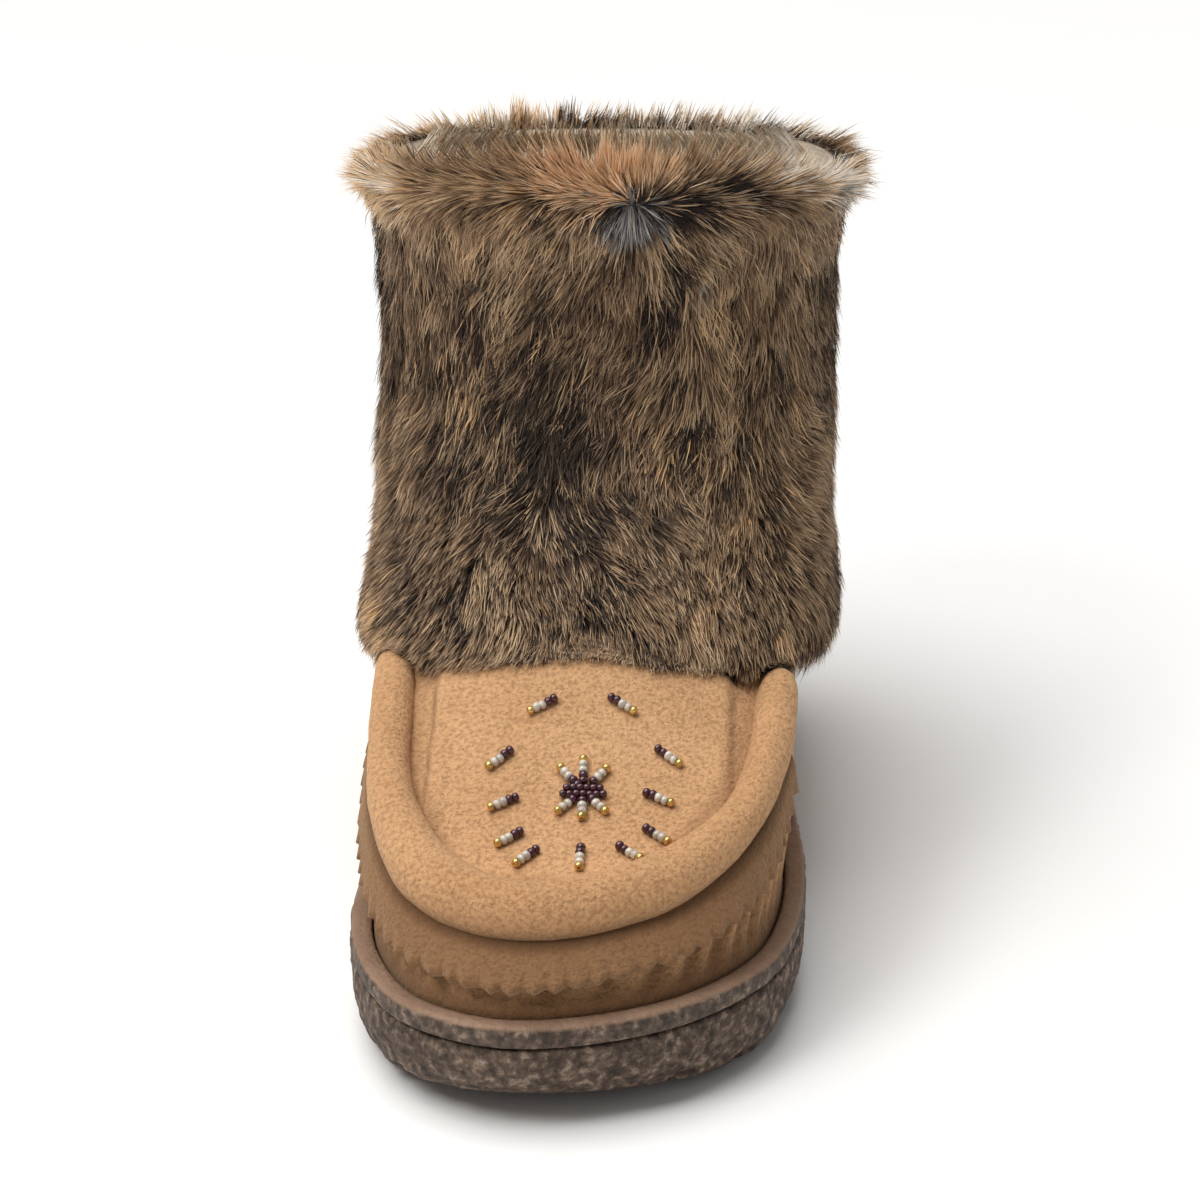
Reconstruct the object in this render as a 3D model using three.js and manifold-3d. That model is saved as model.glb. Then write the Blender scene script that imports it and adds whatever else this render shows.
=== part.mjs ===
// A left mukluk boot: a suede moccasin on a cupped rubber sole, with a beaded plug, a rolled rim, a pinked trim
// and a short fur shaft. Millimetres, +Z up, toe towards -Y, inner (big toe) side towards -X.
import * as THREE from "three";
import { mergeVertices } from "three/addons/utils/BufferGeometryUtils.js";
import Module from "manifold-3d";

const wasm = await Module();
wasm.setup();

// Driving dimensions
const TOE = -138;
const HEEL = 134;
const AROUND = 54; // points in each ring of the foot, an even number
const GAP = 0.35; // clearance where two curved pieces meet
const BAND = 5.5; // height of the midsole band
const HEM_GAP = 0.8; // clearance of the shaft's loose hem round the upper
const LIP_WIDTH = 5; // how far the cup lip reaches in from the sole's edge
const LIP_DEPTH = 2.5; // height of the cup lip above the footbed
const TOE_SPRING = 8;
const ARCH_RISE = 3;
const GROOVE_DEPTH = 3.5;
const GROOVE_WIDTH = 4.5;
const GROOVE_PITCH = 13.5;
const SUEDE = 3; // wall of the lined suede upper
const INSOLE_THICKNESS = 3.6;
const ROLL_RADIUS = 7;
const ROLL_THINNING = 2; // how much thinner the roll is along the sides than at the toe
const TRIM_THICKNESS = 1.3;
const TOOTH_PITCH = 4.7;
const TOOTH_DEPTH = 1.7;
const BEAD_RADIUS = 1.1;
const BEAD_LENGTH = 1.5;
const BAR_BEADS = 5;

const COLOURS = {
  crepe: { color: 0x78695a, roughness: 0.85, metalness: 0 },
  band: { color: 0x876e5a, roughness: 0.6, metalness: 0 },
  fleece: { color: 0xcbb595, roughness: 1, metalness: 0 },
  suede: { color: 0xc89a6c, roughness: 0.95, metalness: 0 },
  fur: { color: 0x6e5a46, roughness: 1, metalness: 0 },
  beads: { color: 0x5a2238, roughness: 0.2, metalness: 0 },
};

// The outline from toe to heel: the sole's edge, and the fuller edge of the soft upper over it. "in" is the big
// toe side, "out" the little toe side.
const PLAN = [
  { y: -128, soleIn: -35, soleOut: 21.5, fullIn: -35, fullOut: 21.5 },
  { y: -105, soleIn: -48, soleOut: 43.3, fullIn: -48, fullOut: 43.3 },
  { y: -78, soleIn: -52.6, soleOut: 51.2, fullIn: -52.6, fullOut: 51.2 },
  { y: -42, soleIn: -49, soleOut: 51.8, fullIn: -52.2, fullOut: 52 },
  { y: 0, soleIn: -38, soleOut: 46, fullIn: -51, fullOut: 51.5 },
  { y: 45, soleIn: -35, soleOut: 41, fullIn: -50, fullOut: 50.2 },
  { y: 90, soleIn: -37, soleOut: 39.5, fullIn: -45, fullOut: 46.5 },
  { y: 120, soleIn: -26.5, soleOut: 29, fullIn: -31, fullOut: 33 },
];
const TOE_TIP_X = -12;
const HEEL_TIP_X = 1;

const mix = (a, b, share) => a + (b - a) * share;
const ease = (value, low, high) => THREE.MathUtils.smoothstep(value, low, high);

// Reads a smooth height from a short table of [y, z] rows.
function profile(rows) {
  const curve = new THREE.CatmullRomCurve3(rows.map(([y, z]) => new THREE.Vector3(0, y, z)), false, "centripetal");
  const points = curve.getPoints(80);
  return (y) => {
    const next = points.findIndex((p) => p.y >= y);
    if (next <= 0) return points[next === 0 ? 0 : points.length - 1].z;
    const before = points[next - 1];
    return mix(before.z, points[next].z, (y - before.y) / (points[next].y - before.y));
  };
}

const lipHeight = profile([[TOE, 25], [-80, 24], [0, 27], [85, 31], [HEEL, 33]]);
const seamHeight = profile([[TOE, 39], [-120, 43.5], [-80, 55.5], [-35, 68], [0, 70], [HEEL, 68]]);
const plugHeight = profile([[-125, 40.5], [-112, 43.5], [-98, 48.5], [-82, 56.5], [-62, 68.5], [-40, 83]]);

function bottomHeight(y) {
  const toe = TOE_SPRING * Math.max(0, (-96 - y) / 42) ** 1.7;
  const arch = ARCH_RISE * ease(y, -30, -5) * (1 - ease(y, 30, 50));
  const heel = 3 * Math.max(0, (y - 118) / 16) ** 1.5;
  return toe + arch + heel;
}

// A closed outline read by t: 0 at the toe tip, 0.5 at the heel tip, by length along each side.
function outline(inside, outside) {
  const corner = (x, y) => new THREE.Vector3(x, y, 0);
  const lateral = PLAN.map((row) => corner(row[outside], row.y));
  const medial = PLAN.map((row) => corner(row[inside], row.y)).reverse();
  const points = [corner(TOE_TIP_X, TOE), ...lateral, corner(HEEL_TIP_X, HEEL), ...medial];
  const curve = new THREE.CatmullRomCurve3(points, true, "centripetal");
  const dense = 60 * points.length;
  const samples = curve.getPoints(dense);
  const half = dense / 2;
  const lengths = [0];
  for (let i = 1; i <= dense; i++) lengths.push(lengths[i - 1] + samples[i].distanceTo(samples[i - 1]));
  return (t) => {
    const turn = t - Math.floor(t);
    const first = turn < 0.5 ? 0 : half;
    const share = (turn - (first ? 0.5 : 0)) * 2;
    const goal = mix(lengths[first], lengths[first + half], share);
    let i = first + 1;
    while (i < first + half && lengths[i] < goal) i++;
    const within = (goal - lengths[i - 1]) / (lengths[i] - lengths[i - 1]);
    return samples[i - 1].clone().lerp(samples[i], within);
  };
}

const soleOutline = outline("soleIn", "soleOut");
const fullOutline = outline("fullIn", "fullOut");

// The outline moved inwards along its own normal.
function insetOutline(read, t, inset) {
  const along = read(t + 0.004).sub(read(t - 0.004)).normalize();
  return read(t).add(new THREE.Vector3(-along.y, along.x, 0).multiplyScalar(inset));
}

// Rings of the upper, from the feather edge up to the collar. "inset" moves the outline in; "front" and "back" are
// the ring's ends; "ball" and "waist" scale its width before and behind the ball; "full" goes from the sole's
// outline to the fuller one; height(x, y) is read at each point.
function domeHeight(x, y) {
  const crown = Math.max(0, 1 - (x / 44) ** 2);
  const seam = seamHeight(y) - 1.5;
  return mix(seam, Math.max(seam, plugHeight(y)), crown);
}

function topHeight(rear) {
  return (x, y) => mix(domeHeight(x, y), rear, ease(y, -52, -10));
}

const UPPER = [
  { inset: 5.4, full: 0, height: (x, y) => lipHeight(y) - LIP_DEPTH + GAP },
  { inset: 5.4, full: 0.02, height: (x, y) => lipHeight(y) + 2.5 },
  { front: -128.5, back: 130, ball: 0.93, waist: 0.96, full: 0.6,
    height: (x, y) => mix(lipHeight(y), seamHeight(y), 0.48) },
  { front: -124.5, back: 129.5, ball: 0.912, waist: 0.97, full: 0.9,
    height: (x, y) => seamHeight(y) - mix(5.5, 12, ease(y, -52, -10)) },
  { front: -119.5, back: 129, ball: 0.85, waist: 0.955, full: 1,
    height: (x, y) => mix(seamHeight(y) - 2.2, 61, ease(y, -52, -10)) },
  { front: -112.5, back: 128.3, ball: 0.8, waist: 0.965, full: 1, height: topHeight(63.5) },
  { front: -98, back: 127.5, ball: 0.74, waist: 0.96, full: 1, height: topHeight(65.5) },
  { front: -82, back: 126.6, ball: 0.72, waist: 0.955, full: 1, height: topHeight(67.5) },
  { front: -62, back: 125.6, ball: 0.76, waist: 0.95, full: 1, height: topHeight(69.5) },
  { front: -42, back: 124.6, ball: 0.82, waist: 0.945, full: 1, height: topHeight(72) },
];
const RIM = 1;
const BULGE = 2;
const UNDER_ROLL = 3;
const SHELF = 4;
const PLUG_EDGE = 5;
const COLLAR = UPPER.length - 1;

function ringPoint(row, t) {
  const inset = row.inset ?? 0;
  const flat = insetOutline(soleOutline, t, inset).lerp(insetOutline(fullOutline, t, inset), row.full);
  const front = row.front ?? TOE;
  const back = row.back ?? HEEL;
  const y = front + ((flat.y - TOE) * (back - front)) / (HEEL - TOE);
  const x = flat.x * mix(row.ball ?? 1, row.waist ?? 1, ease(y, -60, 0));
  return new THREE.Vector3(x, y, row.height(x, y));
}

// The upper's outer surface at height s (a ring number, between rings too) and place t round the foot.
function surface(s, t) {
  const low = Math.min(Math.max(Math.floor(s), 0), COLLAR - 1);
  const share = s - low;
  const rows = [low - 1, low, low + 1, low + 2].map((i) => UPPER[Math.min(Math.max(i, 0), COLLAR)]);
  const [a, b, c, d] = rows.map((row) => ringPoint(row, t));
  const blend = (p, q, r, u) =>
    q + 0.5 * share * (r - p + share * (2 * p - 5 * q + 4 * r - u + share * (3 * (q - r) + u - p)));
  return new THREE.Vector3(blend(a.x, b.x, c.x, d.x), blend(a.y, b.y, c.y, d.y), blend(a.z, b.z, c.z, d.z));
}

function outward(s, t) {
  const low = Math.max(0, s - 0.1);
  const high = Math.min(COLLAR, s + 0.1);
  const up = surface(high, t).sub(surface(low, t));
  const along = surface(s, t + 0.004).sub(surface(s, t - 0.004));
  return along.cross(up).normalize();
}

// The feather edge stands level on the footbed, so its wall is moved sideways only.
function offsetPoint(s, t, amount) {
  const normal = outward(s, t);
  if (s <= RIM) normal.setZ(0).normalize();
  return surface(s, t).addScaledVector(normal, amount);
}

// Solids

function toManifold(geometry) {
  const bare = new THREE.BufferGeometry();
  bare.setAttribute("position", geometry.getAttribute("position"));
  if (geometry.index) bare.setIndex(geometry.index);
  const merged = mergeVertices(bare, 1e-4);
  const vertProperties = new Float32Array(merged.attributes.position.array);
  const triVerts = new Uint32Array(merged.index.array);
  return new wasm.Manifold(new wasm.Mesh({ numProp: 3, vertProperties, triVerts }));
}

function toGeometry(solid) {
  const mesh = solid.getMesh();
  const geometry = new THREE.BufferGeometry();
  geometry.setAttribute("position", new THREE.BufferAttribute(new Float32Array(mesh.vertProperties), 3));
  geometry.setIndex(new THREE.BufferAttribute(new Uint32Array(mesh.triVerts), 1));
  geometry.computeVertexNormals();
  return geometry;
}

// Joins rings of equal length into one closed body. cap "strips" closes each end with strips across the foot,
// "fans" with a fan round its middle, and "none" joins the last ring to the first.
function loft(rings, cap) {
  const count = rings[0].length;
  const points = rings.flat();
  const faces = [];
  const join = (low, high) => {
    for (let i = 0; i < count; i++) {
      const next = (i + 1) % count;
      faces.push(low + i, low + next, high + next, low + i, high + next, high + i);
    }
  };
  for (let r = 0; r + 1 < rings.length; r++) join(r * count, (r + 1) * count);
  const last = (rings.length - 1) * count;
  if (cap === "none") join(last, 0);
  const addFace = (a, b, c, reverse) => faces.push(...(reverse ? [a, c, b] : [a, b, c]));
  const strips = (start, reverse) => {
    for (let i = 0; i < count / 2; i++) {
      const left = start + i;
      const right = start + ((count - i) % count);
      const leftNext = left + 1;
      const rightNext = start + count - i - 1;
      if (left !== right) addFace(left, leftNext, right, reverse);
      if (leftNext !== rightNext) addFace(leftNext, rightNext, right, reverse);
    }
  };
  const fan = (start, reverse) => {
    const middle = new THREE.Vector3();
    for (let i = 0; i < count; i++) middle.addScaledVector(points[start + i], 1 / count);
    points.push(middle);
    for (let i = 0; i < count; i++) {
      addFace(points.length - 1, start + i, start + ((i + 1) % count), reverse);
    }
  };
  const close = { strips, fans: fan }[cap];
  if (close) {
    close(0, true);
    close(last, false);
  }
  const geometry = new THREE.BufferGeometry();
  geometry.setAttribute("position", new THREE.Float32BufferAttribute(points.flatMap((p) => [p.x, p.y, p.z]), 3));
  geometry.setIndex(faces);
  const solid = toManifold(geometry);
  if (solid.volume() < 0) throw new Error("a loft is inside out");
  return solid;
}

const turns = (count) => Array.from({ length: count }, (_, i) => i / count);

// Sole

function soleRing(inset, height) {
  return turns(AROUND).map((t) => {
    const p = insetOutline(soleOutline, t, inset);
    return p.setZ(height(p.y));
  });
}

function makeOutsole() {
  const top = (y) => lipHeight(y) - BAND;
  const body = loft([
    soleRing(6.5, bottomHeight),
    soleRing(3, (y) => bottomHeight(y) + 1.6),
    soleRing(0.6, (y) => mix(bottomHeight(y), top(y), 0.42)),
    soleRing(0, (y) => mix(bottomHeight(y), top(y), 0.75)),
    soleRing(0.4, top),
  ], "strips");
  const cuts = [];
  const stretches = [[-122, -40], [58, 122]];
  for (const [from, to] of stretches) {
    for (let y = from; y <= to; y += GROOVE_PITCH) {
      const roof = bottomHeight(y) + GROOVE_DEPTH;
      const groove = new THREE.BoxGeometry(160, GROOVE_WIDTH, roof + 10);
      groove.translate(0, y, (roof - 10) / 2);
      cuts.push(toManifold(groove));
    }
  }
  return cuts.reduce((solid, cut) => solid.subtract(cut), body);
}

function makeMidsole() {
  const floor = (y) => lipHeight(y) - LIP_DEPTH;
  return loft([
    soleRing(0.6, (y) => lipHeight(y) - BAND + GAP),
    soleRing(0, (y) => lipHeight(y) - BAND + 1.4),
    soleRing(0, (y) => lipHeight(y) - 1),
    soleRing(1, lipHeight),
    soleRing(LIP_WIDTH - 0.4, lipHeight),
    soleRing(LIP_WIDTH, floor),
  ], "strips");
}

function makeInsole() {
  const floor = (y) => lipHeight(y) - LIP_DEPTH + GAP;
  const inset = LIP_WIDTH + SUEDE + 1.6;
  return loft([
    soleRing(inset, floor),
    soleRing(inset, (y) => floor(y) + INSOLE_THICKNESS - 1),
    soleRing(inset + 1, (y) => floor(y) + INSOLE_THICKNESS),
  ], "strips");
}

// Upper

const RING_STEPS = [0, 1, 1.5, 2, 2.5, 3, 3.5, 4, 5, 6, 7, 8, 9];
const upperRing = (s, amount) => turns(AROUND).map((t) => offsetPoint(s, t, amount));

// The upper as a filled form, its outer surface moved out and its collar raised by an amount, to cut its
// neighbours with.
function upperForm(amount) {
  const raised = upperRing(COLLAR, amount).map((p) => p.setZ(p.z + 3 * amount));
  return loft([...RING_STEPS.map((s) => upperRing(s, amount)), raised], "strips");
}

function upperShell() {
  const inner = [9, 8, 7, 6, 5, 4, 3, 2, 1, 0].map((s) => upperRing(s, -SUEDE));
  return loft([...RING_STEPS.map((s) => upperRing(s, 0)), ...inner], "none");
}

// A prism over the plug's plan: the ring at the plug's edge as far back as the throat, moved in by an amount.
function plugPrism(amount) {
  const throat = -47 - amount;
  const edge = [];
  for (let i = -40; i <= 40; i++) {
    const t = (i / 40) * 0.2;
    const at = surface(PLUG_EDGE - 0.12, t);
    const along = surface(PLUG_EDGE, t + 0.004).sub(surface(PLUG_EDGE, t - 0.004)).setZ(0).normalize();
    at.addScaledVector(new THREE.Vector3(-along.y, along.x, 0), amount);
    if (at.y < throat) edge.push(new THREE.Vector2(at.x, at.y));
  }
  edge.push(new THREE.Vector2(edge.at(-1).x, throat));
  edge.unshift(new THREE.Vector2(edge[0].x, throat));
  const prism = new THREE.ExtrudeGeometry(new THREE.Shape(edge), { depth: 60, bevelEnabled: false });
  prism.translate(0, 0, 38);
  return toManifold(prism);
}

// Rolled rim: a tube that follows the shelf between the vamp and the plug, thinner towards its ends.
const ROLL_END = 0.185;

function rollForm(extra) {
  const steps = 38;
  const sides = 12;
  const centre = (t) => surface(SHELF, t).add(new THREE.Vector3(0, 0, 1.6));
  const rings = [];
  for (let i = 0; i <= steps; i++) {
    const share = (2 * i) / steps - 1;
    const t = share * ROLL_END;
    const along = centre(t + 0.002).sub(centre(t - 0.002)).normalize();
    const side = new THREE.Vector3(0, 0, 1).cross(along).normalize();
    const up = along.clone().cross(side);
    const taper = Math.sqrt(1 - 0.75 * Math.abs(share) ** 24);
    const radius = (ROLL_RADIUS - ROLL_THINNING * ease(Math.abs(share), 0.2, 0.6)) * taper + extra;
    rings.push(turns(sides).map((turn) => {
      const angle = -2 * Math.PI * turn;
      return centre(t)
        .addScaledVector(side, radius * Math.cos(angle))
        .addScaledVector(up, radius * Math.sin(angle));
    }));
  }
  return loft(rings.reverse(), "fans");
}

// Pinked trim: a thin strip under the roll, standing off the vamp, with a zigzag lower edge.
function makeTrim() {
  const end = 0.15;
  const teeth = 2 * Math.round(trimEdgeLength(-end, end) / TOOTH_PITCH / 2);
  const columns = 2 * teeth;
  const rings = [];
  for (let i = 0; i <= columns; i++) {
    const share = (2 * i) / columns - 1;
    const t = share * end;
    const drop = 1.42 + 1.2 * Math.abs(share) ** 1.3;
    const stand = mix(3.6, 1.3, Math.abs(share));
    const top = offsetPoint(UNDER_ROLL + 0.3, t, 0.9);
    const foot = offsetPoint(drop, t, stand);
    const hang = foot.clone().sub(top).normalize();
    foot.addScaledVector(hang, (i % 2 ? 0.5 : -0.5) * TOOTH_DEPTH);
    const middle = top.clone().lerp(foot, 0.45).addScaledVector(outward(BULGE + 0.6, t), 0.5);
    const along = surface(BULGE, t + 0.004).sub(surface(BULGE, t - 0.004)).normalize();
    const face = hang.clone().cross(along).normalize().multiplyScalar(-TRIM_THICKNESS / 2);
    if (face.dot(outward(BULGE, t)) < 0) face.negate();
    const outer = [top, middle, foot].map((p) => p.clone().add(face));
    const inner = [foot, middle, top].map((p) => p.clone().sub(face));
    rings.push([...outer, ...inner]);
  }
  return loft(rings, "fans");
}

function trimEdgeLength(from, to) {
  let length = 0;
  const steps = 60;
  for (let i = 0; i < steps; i++) {
    length += surface(BULGE, mix(from, to, i / steps)).distanceTo(surface(BULGE, mix(from, to, (i + 1) / steps)));
  }
  return length;
}

// Shaft: "front" and "back" are the ends of each ring, "half" its half width, and its height is given at the front,
// the sides and the back. "square" is the ring's fullness at its corners: 2 is an ellipse. The outside takes in the
// depth of the fur.
const SHAFT_OUTSIDE = [
  { front: -56, back: 133, half: 63, square: 3.1, zFront: 66, zSide: 58, zBack: 54 },
  { front: -57, back: 136, half: 66.5, square: 3.1, zFront: 76, zSide: 65, zBack: 61 },
  { front: -48, back: 136, half: 66, square: 3.0, zFront: 88, zSide: 77, zBack: 73 },
  { front: -27, back: 134.5, half: 63.5, square: 2.7, zFront: 104, zSide: 94, zBack: 90 },
  { front: -13, back: 133.5, half: 62.5, square: 2.5, zFront: 122, zSide: 115, zBack: 112 },
  { front: -9, back: 133, half: 62.5, square: 2.4, zFront: 146, zSide: 142, zBack: 139 },
  { front: -10, back: 133.5, half: 64.5, square: 2.4, zFront: 160, zSide: 155, zBack: 149.5 },
  { front: -13, back: 136, half: 68, square: 2.4, zFront: 172, zSide: 165, zBack: 158.5 },
  { front: -10, back: 133.5, half: 66, square: 2.4, zFront: 180.5, zSide: 172, zBack: 165 },
  { front: -3, back: 127, half: 59.5, square: 2.4, zFront: 184.5, zSide: 176, zBack: 169 },
];
const SHAFT_INSIDE = [
  { front: -24, back: 119, half: 44, square: 2.6, zFront: 62, zSide: 56, zBack: 52 },
  { front: -44, back: 122, half: 49.5, square: 2.7, zFront: 84, zSide: 73, zBack: 71 },
  { front: -22, back: 121, half: 50.5, square: 2.5, zFront: 98, zSide: 88, zBack: 84 },
  { front: 0, back: 120.5, half: 50.5, square: 2.4, zFront: 119, zSide: 112, zBack: 108 },
  { front: 5, back: 120, half: 50.5, square: 2.4, zFront: 146, zSide: 141, zBack: 136 },
  { front: 5, back: 119.5, half: 50.5, square: 2.4, zFront: 176, zSide: 167.5, zBack: 160 },
  { front: 2, back: 122.5, half: 54, square: 2.4, zFront: 182, zSide: 173.5, zBack: 166 },
  { front: 0, back: 125, half: 56, square: 2.4, zFront: 190, zSide: 190, zBack: 190 },
];
const SHAFT_AROUND = 40;

function shaftRing(row) {
  return turns(SHAFT_AROUND).map((t) => {
    const angle = 2 * Math.PI * t;
    const round = (value) => Math.sign(value) * Math.abs(value) ** (2 / row.square);
    const forward = Math.cos(angle);
    const y = (row.front + row.back) / 2 - ((row.back - row.front) / 2) * round(forward);
    const x = row.half * round(Math.sin(angle));
    const end = forward > 0 ? row.zFront : row.zBack;
    return new THREE.Vector3(x, y, mix(row.zSide, end, Math.abs(forward) ** 1.5));
  });
}

function makeShaft(cutters) {
  const outside = loft(SHAFT_OUTSIDE.map(shaftRing), "strips");
  const inside = loft(SHAFT_INSIDE.map(shaftRing), "strips");
  return [inside, ...cutters].reduce((solid, cutter) => solid.subtract(cutter), outside);
}

// Beadwork. Each bar is a row of beads lying on the plug; "turn" is the way it points, in degrees from +X towards
// the collar.
const BARS = [
  { x: -9.1, y: -64, turn: -150 },
  { x: -18, y: -76.6, turn: -138 },
  { x: -16.4, y: -87.9, turn: -150 },
  { x: -14.4, y: -97.3, turn: -140 },
  { x: -10.2, y: -102.8, turn: -132 },
  { x: 1.7, y: -102.8, turn: -91 },
  { x: 12.6, y: -100.8, turn: -40 },
  { x: 18.4, y: -95.5, turn: -36 },
  { x: 18.4, y: -85.8, turn: -24 },
  { x: 20.2, y: -74.9, turn: -35 },
  { x: 9.2, y: -63.4, turn: -31 },
];

function plugFrame(x, y) {
  const step = 0.5;
  const height = (px, py) => topHeight(72)(px, py);
  const across = new THREE.Vector3(2 * step, 0, height(x + step, y) - height(x - step, y)).normalize();
  const along = new THREE.Vector3(0, 2 * step, height(x, y + step) - height(x, y - step)).normalize();
  const normal = across.clone().cross(along).normalize();
  return { at: new THREE.Vector3(x, y, height(x, y)), across, along, normal };
}

// A round rod on the plug from one point to another, its underside just clear of the suede.
function beadRod(from, to) {
  const rod = new THREE.CylinderGeometry(BEAD_RADIUS, BEAD_RADIUS, from.distanceTo(to), 6);
  rod.applyQuaternion(new THREE.Quaternion().setFromUnitVectors(
    new THREE.Vector3(0, 1, 0), to.clone().sub(from).normalize()));
  const middle = from.clone().lerp(to, 0.5);
  return rod.translate(middle.x, middle.y, middle.z);
}

function beadPoint(frame, reach, degrees) {
  const angle = THREE.MathUtils.degToRad(degrees);
  return frame.at.clone()
    .addScaledVector(frame.across, reach * Math.cos(angle))
    .addScaledVector(frame.along, reach * Math.sin(angle))
    .addScaledVector(frame.normal, BEAD_RADIUS + GAP + 0.15);
}

function makeBar({ x, y, turn }) {
  const frame = plugFrame(x, y);
  const half = (BAR_BEADS * BEAD_LENGTH) / 2;
  return toManifold(beadRod(beadPoint(frame, half, turn), beadPoint(frame, half, turn + 180)));
}

const STAR = { x: 1.4, y: -84.8, ray: 9.4, bar: 5.4 };
const STAR_TURNS = [92, 131, 52, 227, 270, 313];

function makeStar() {
  const frame = plugFrame(STAR.x, STAR.y);
  const centre = beadPoint(frame, 0, 0);
  const rods = STAR_TURNS.map((turn) => toManifold(beadRod(centre, beadPoint(frame, STAR.ray, turn))));
  const bar = toManifold(beadRod(beadPoint(frame, STAR.bar, 180), beadPoint(frame, STAR.bar, 0)));
  return rods.reduce((solid, rod) => solid.add(rod), bar);
}

// Assembly

const boot = new THREE.Group();

function addPiece(name, solid, look) {
  const mesh = new THREE.Mesh(toGeometry(solid), new THREE.MeshStandardMaterial(COLOURS[look]));
  mesh.name = name;
  boot.add(mesh);
}

const shell = upperShell();
const upperGrown = upperForm(GAP);
const rollGrown = rollForm(GAP);

addPiece("outsole", makeOutsole(), "crepe");
addPiece("midsole", makeMidsole(), "band");
addPiece("insole", makeInsole(), "fleece");
addPiece("upper", shell.subtract(plugPrism(0)), "suede");
addPiece("plug", shell.intersect(plugPrism(GAP)), "suede");
addPiece("roll", rollForm(0).subtract(upperGrown), "suede");
addPiece("pinked_trim", makeTrim().subtract(upperGrown).subtract(rollGrown), "suede");
addPiece("shaft", makeShaft([upperForm(HEM_GAP), rollForm(HEM_GAP)]), "fur");
BARS.forEach((bar, i) => addPiece("bead_bar_" + (i + 1), makeBar(bar), "beads"));
addPiece("bead_star", makeStar(), "beads");

// The origin is the middle of the box's bottom face.
const box = new THREE.Box3().setFromObject(boot);
boot.position.set(-(box.min.x + box.max.x) / 2, -(box.min.y + box.max.y) / 2, -box.min.z);

export default boot;
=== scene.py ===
"""A left mukluk boot: suede moccasin, rolled rim, beaded plug, pinked trim, crepe sole and fur shaft.

Shapes are worked out in millimetres, toe towards -Y and big toe side towards -X,
then placed in the frame's metres.
"""
import math

import bmesh
import bpy
import numpy as np
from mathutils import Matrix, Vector


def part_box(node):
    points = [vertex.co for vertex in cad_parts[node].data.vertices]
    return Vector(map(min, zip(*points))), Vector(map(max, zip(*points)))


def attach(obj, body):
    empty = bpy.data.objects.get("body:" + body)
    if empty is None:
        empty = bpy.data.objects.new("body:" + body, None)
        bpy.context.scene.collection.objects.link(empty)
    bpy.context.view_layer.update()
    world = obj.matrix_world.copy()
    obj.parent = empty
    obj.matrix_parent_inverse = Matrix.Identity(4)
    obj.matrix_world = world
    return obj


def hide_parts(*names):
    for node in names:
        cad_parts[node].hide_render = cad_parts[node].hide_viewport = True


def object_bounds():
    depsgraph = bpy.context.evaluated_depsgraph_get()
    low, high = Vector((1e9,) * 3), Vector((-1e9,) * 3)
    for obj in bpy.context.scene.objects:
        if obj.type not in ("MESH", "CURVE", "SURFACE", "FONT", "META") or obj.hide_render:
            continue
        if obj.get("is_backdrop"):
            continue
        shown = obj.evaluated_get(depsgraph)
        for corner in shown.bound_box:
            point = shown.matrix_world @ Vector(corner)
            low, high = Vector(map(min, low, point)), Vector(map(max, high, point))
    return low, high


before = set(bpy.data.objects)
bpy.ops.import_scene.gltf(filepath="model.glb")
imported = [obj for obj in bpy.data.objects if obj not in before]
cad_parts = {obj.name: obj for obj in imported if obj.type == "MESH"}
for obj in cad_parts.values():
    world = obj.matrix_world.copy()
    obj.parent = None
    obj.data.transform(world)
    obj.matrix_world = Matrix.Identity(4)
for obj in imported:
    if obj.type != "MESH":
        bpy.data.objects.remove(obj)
cad_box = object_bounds()

MM = 0.001
TOE = -138.0
HEEL = 134.0
SHIFT_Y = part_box("outsole")[0].y / MM - TOE  # from the shape's own Y to the frame's

# ---- numbers and noise


def mix(a, b, share):
    return a + (b - a) * share


def ease(value, low, high):
    share = np.clip((value - low) / (high - low), 0.0, 1.0)
    return share * share * (3 - 2 * share)


def bump_at(value, centre, width):
    return np.exp(-(((value - centre) / width) ** 2))


def unit(vectors):
    return vectors / np.maximum(np.linalg.norm(vectors, axis=-1, keepdims=True), 1e-9)


def lattice(points, seed):
    """A fixed random number from -1 to 1 for each whole-number point."""
    i = points.astype(np.int64)
    h = (i[..., 0] * 73856093) ^ (i[..., 1] * 19349663) ^ (i[..., 2] * 83492791) ^ (seed * 40503)
    h &= 0x7FFFFFFF
    h = (h ^ (h >> 13)) * 1274126177 & 0x7FFFFFFF
    h = (h ^ (h >> 11)) * 668265263 & 0x7FFFFFFF
    h ^= h >> 15
    return (h & 0xFFFFFF) / 0x7FFFFF - 1.0


def noise(points, size, seed=1):
    """Smooth noise from -1 to 1 whose lumps are about size millimetres across."""
    q = np.asarray(points, float) / size
    base = np.floor(q)
    f = q - base
    f = f * f * (3 - 2 * f)
    total = 0.0
    for corner in np.ndindex(2, 2, 2):
        c = np.array(corner)
        weight = np.prod(np.where(c == 1, f, 1 - f), axis=-1)
        total = total + weight * lattice(base + c, seed)
    return total


def plan(x, y):
    """Points of the plan, for the noise to be read at."""
    return np.stack([x, y, 0 * x], axis=-1)


def circle(count):
    return 2 * np.pi * np.arange(count) / count


def between(rings, s):
    """The smooth surface through rings, at height s counted in rings."""
    last = len(rings) - 1
    low = np.clip(np.floor(s).astype(int), 0, last - 1)
    share = (s - low)[..., None]
    a, b, c, d = (
        np.take_along_axis(rings, np.clip(low + step, 0, last)[None, ..., None], axis=0)[0]
        for step in (-1, 0, 1, 2)
    )
    curl = 3 * (b - c) + d - a
    return b + 0.5 * share * (c - a + share * (2 * a - 5 * b + 4 * c - d + share * curl))


# ---- the last: outlines and heights

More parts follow.
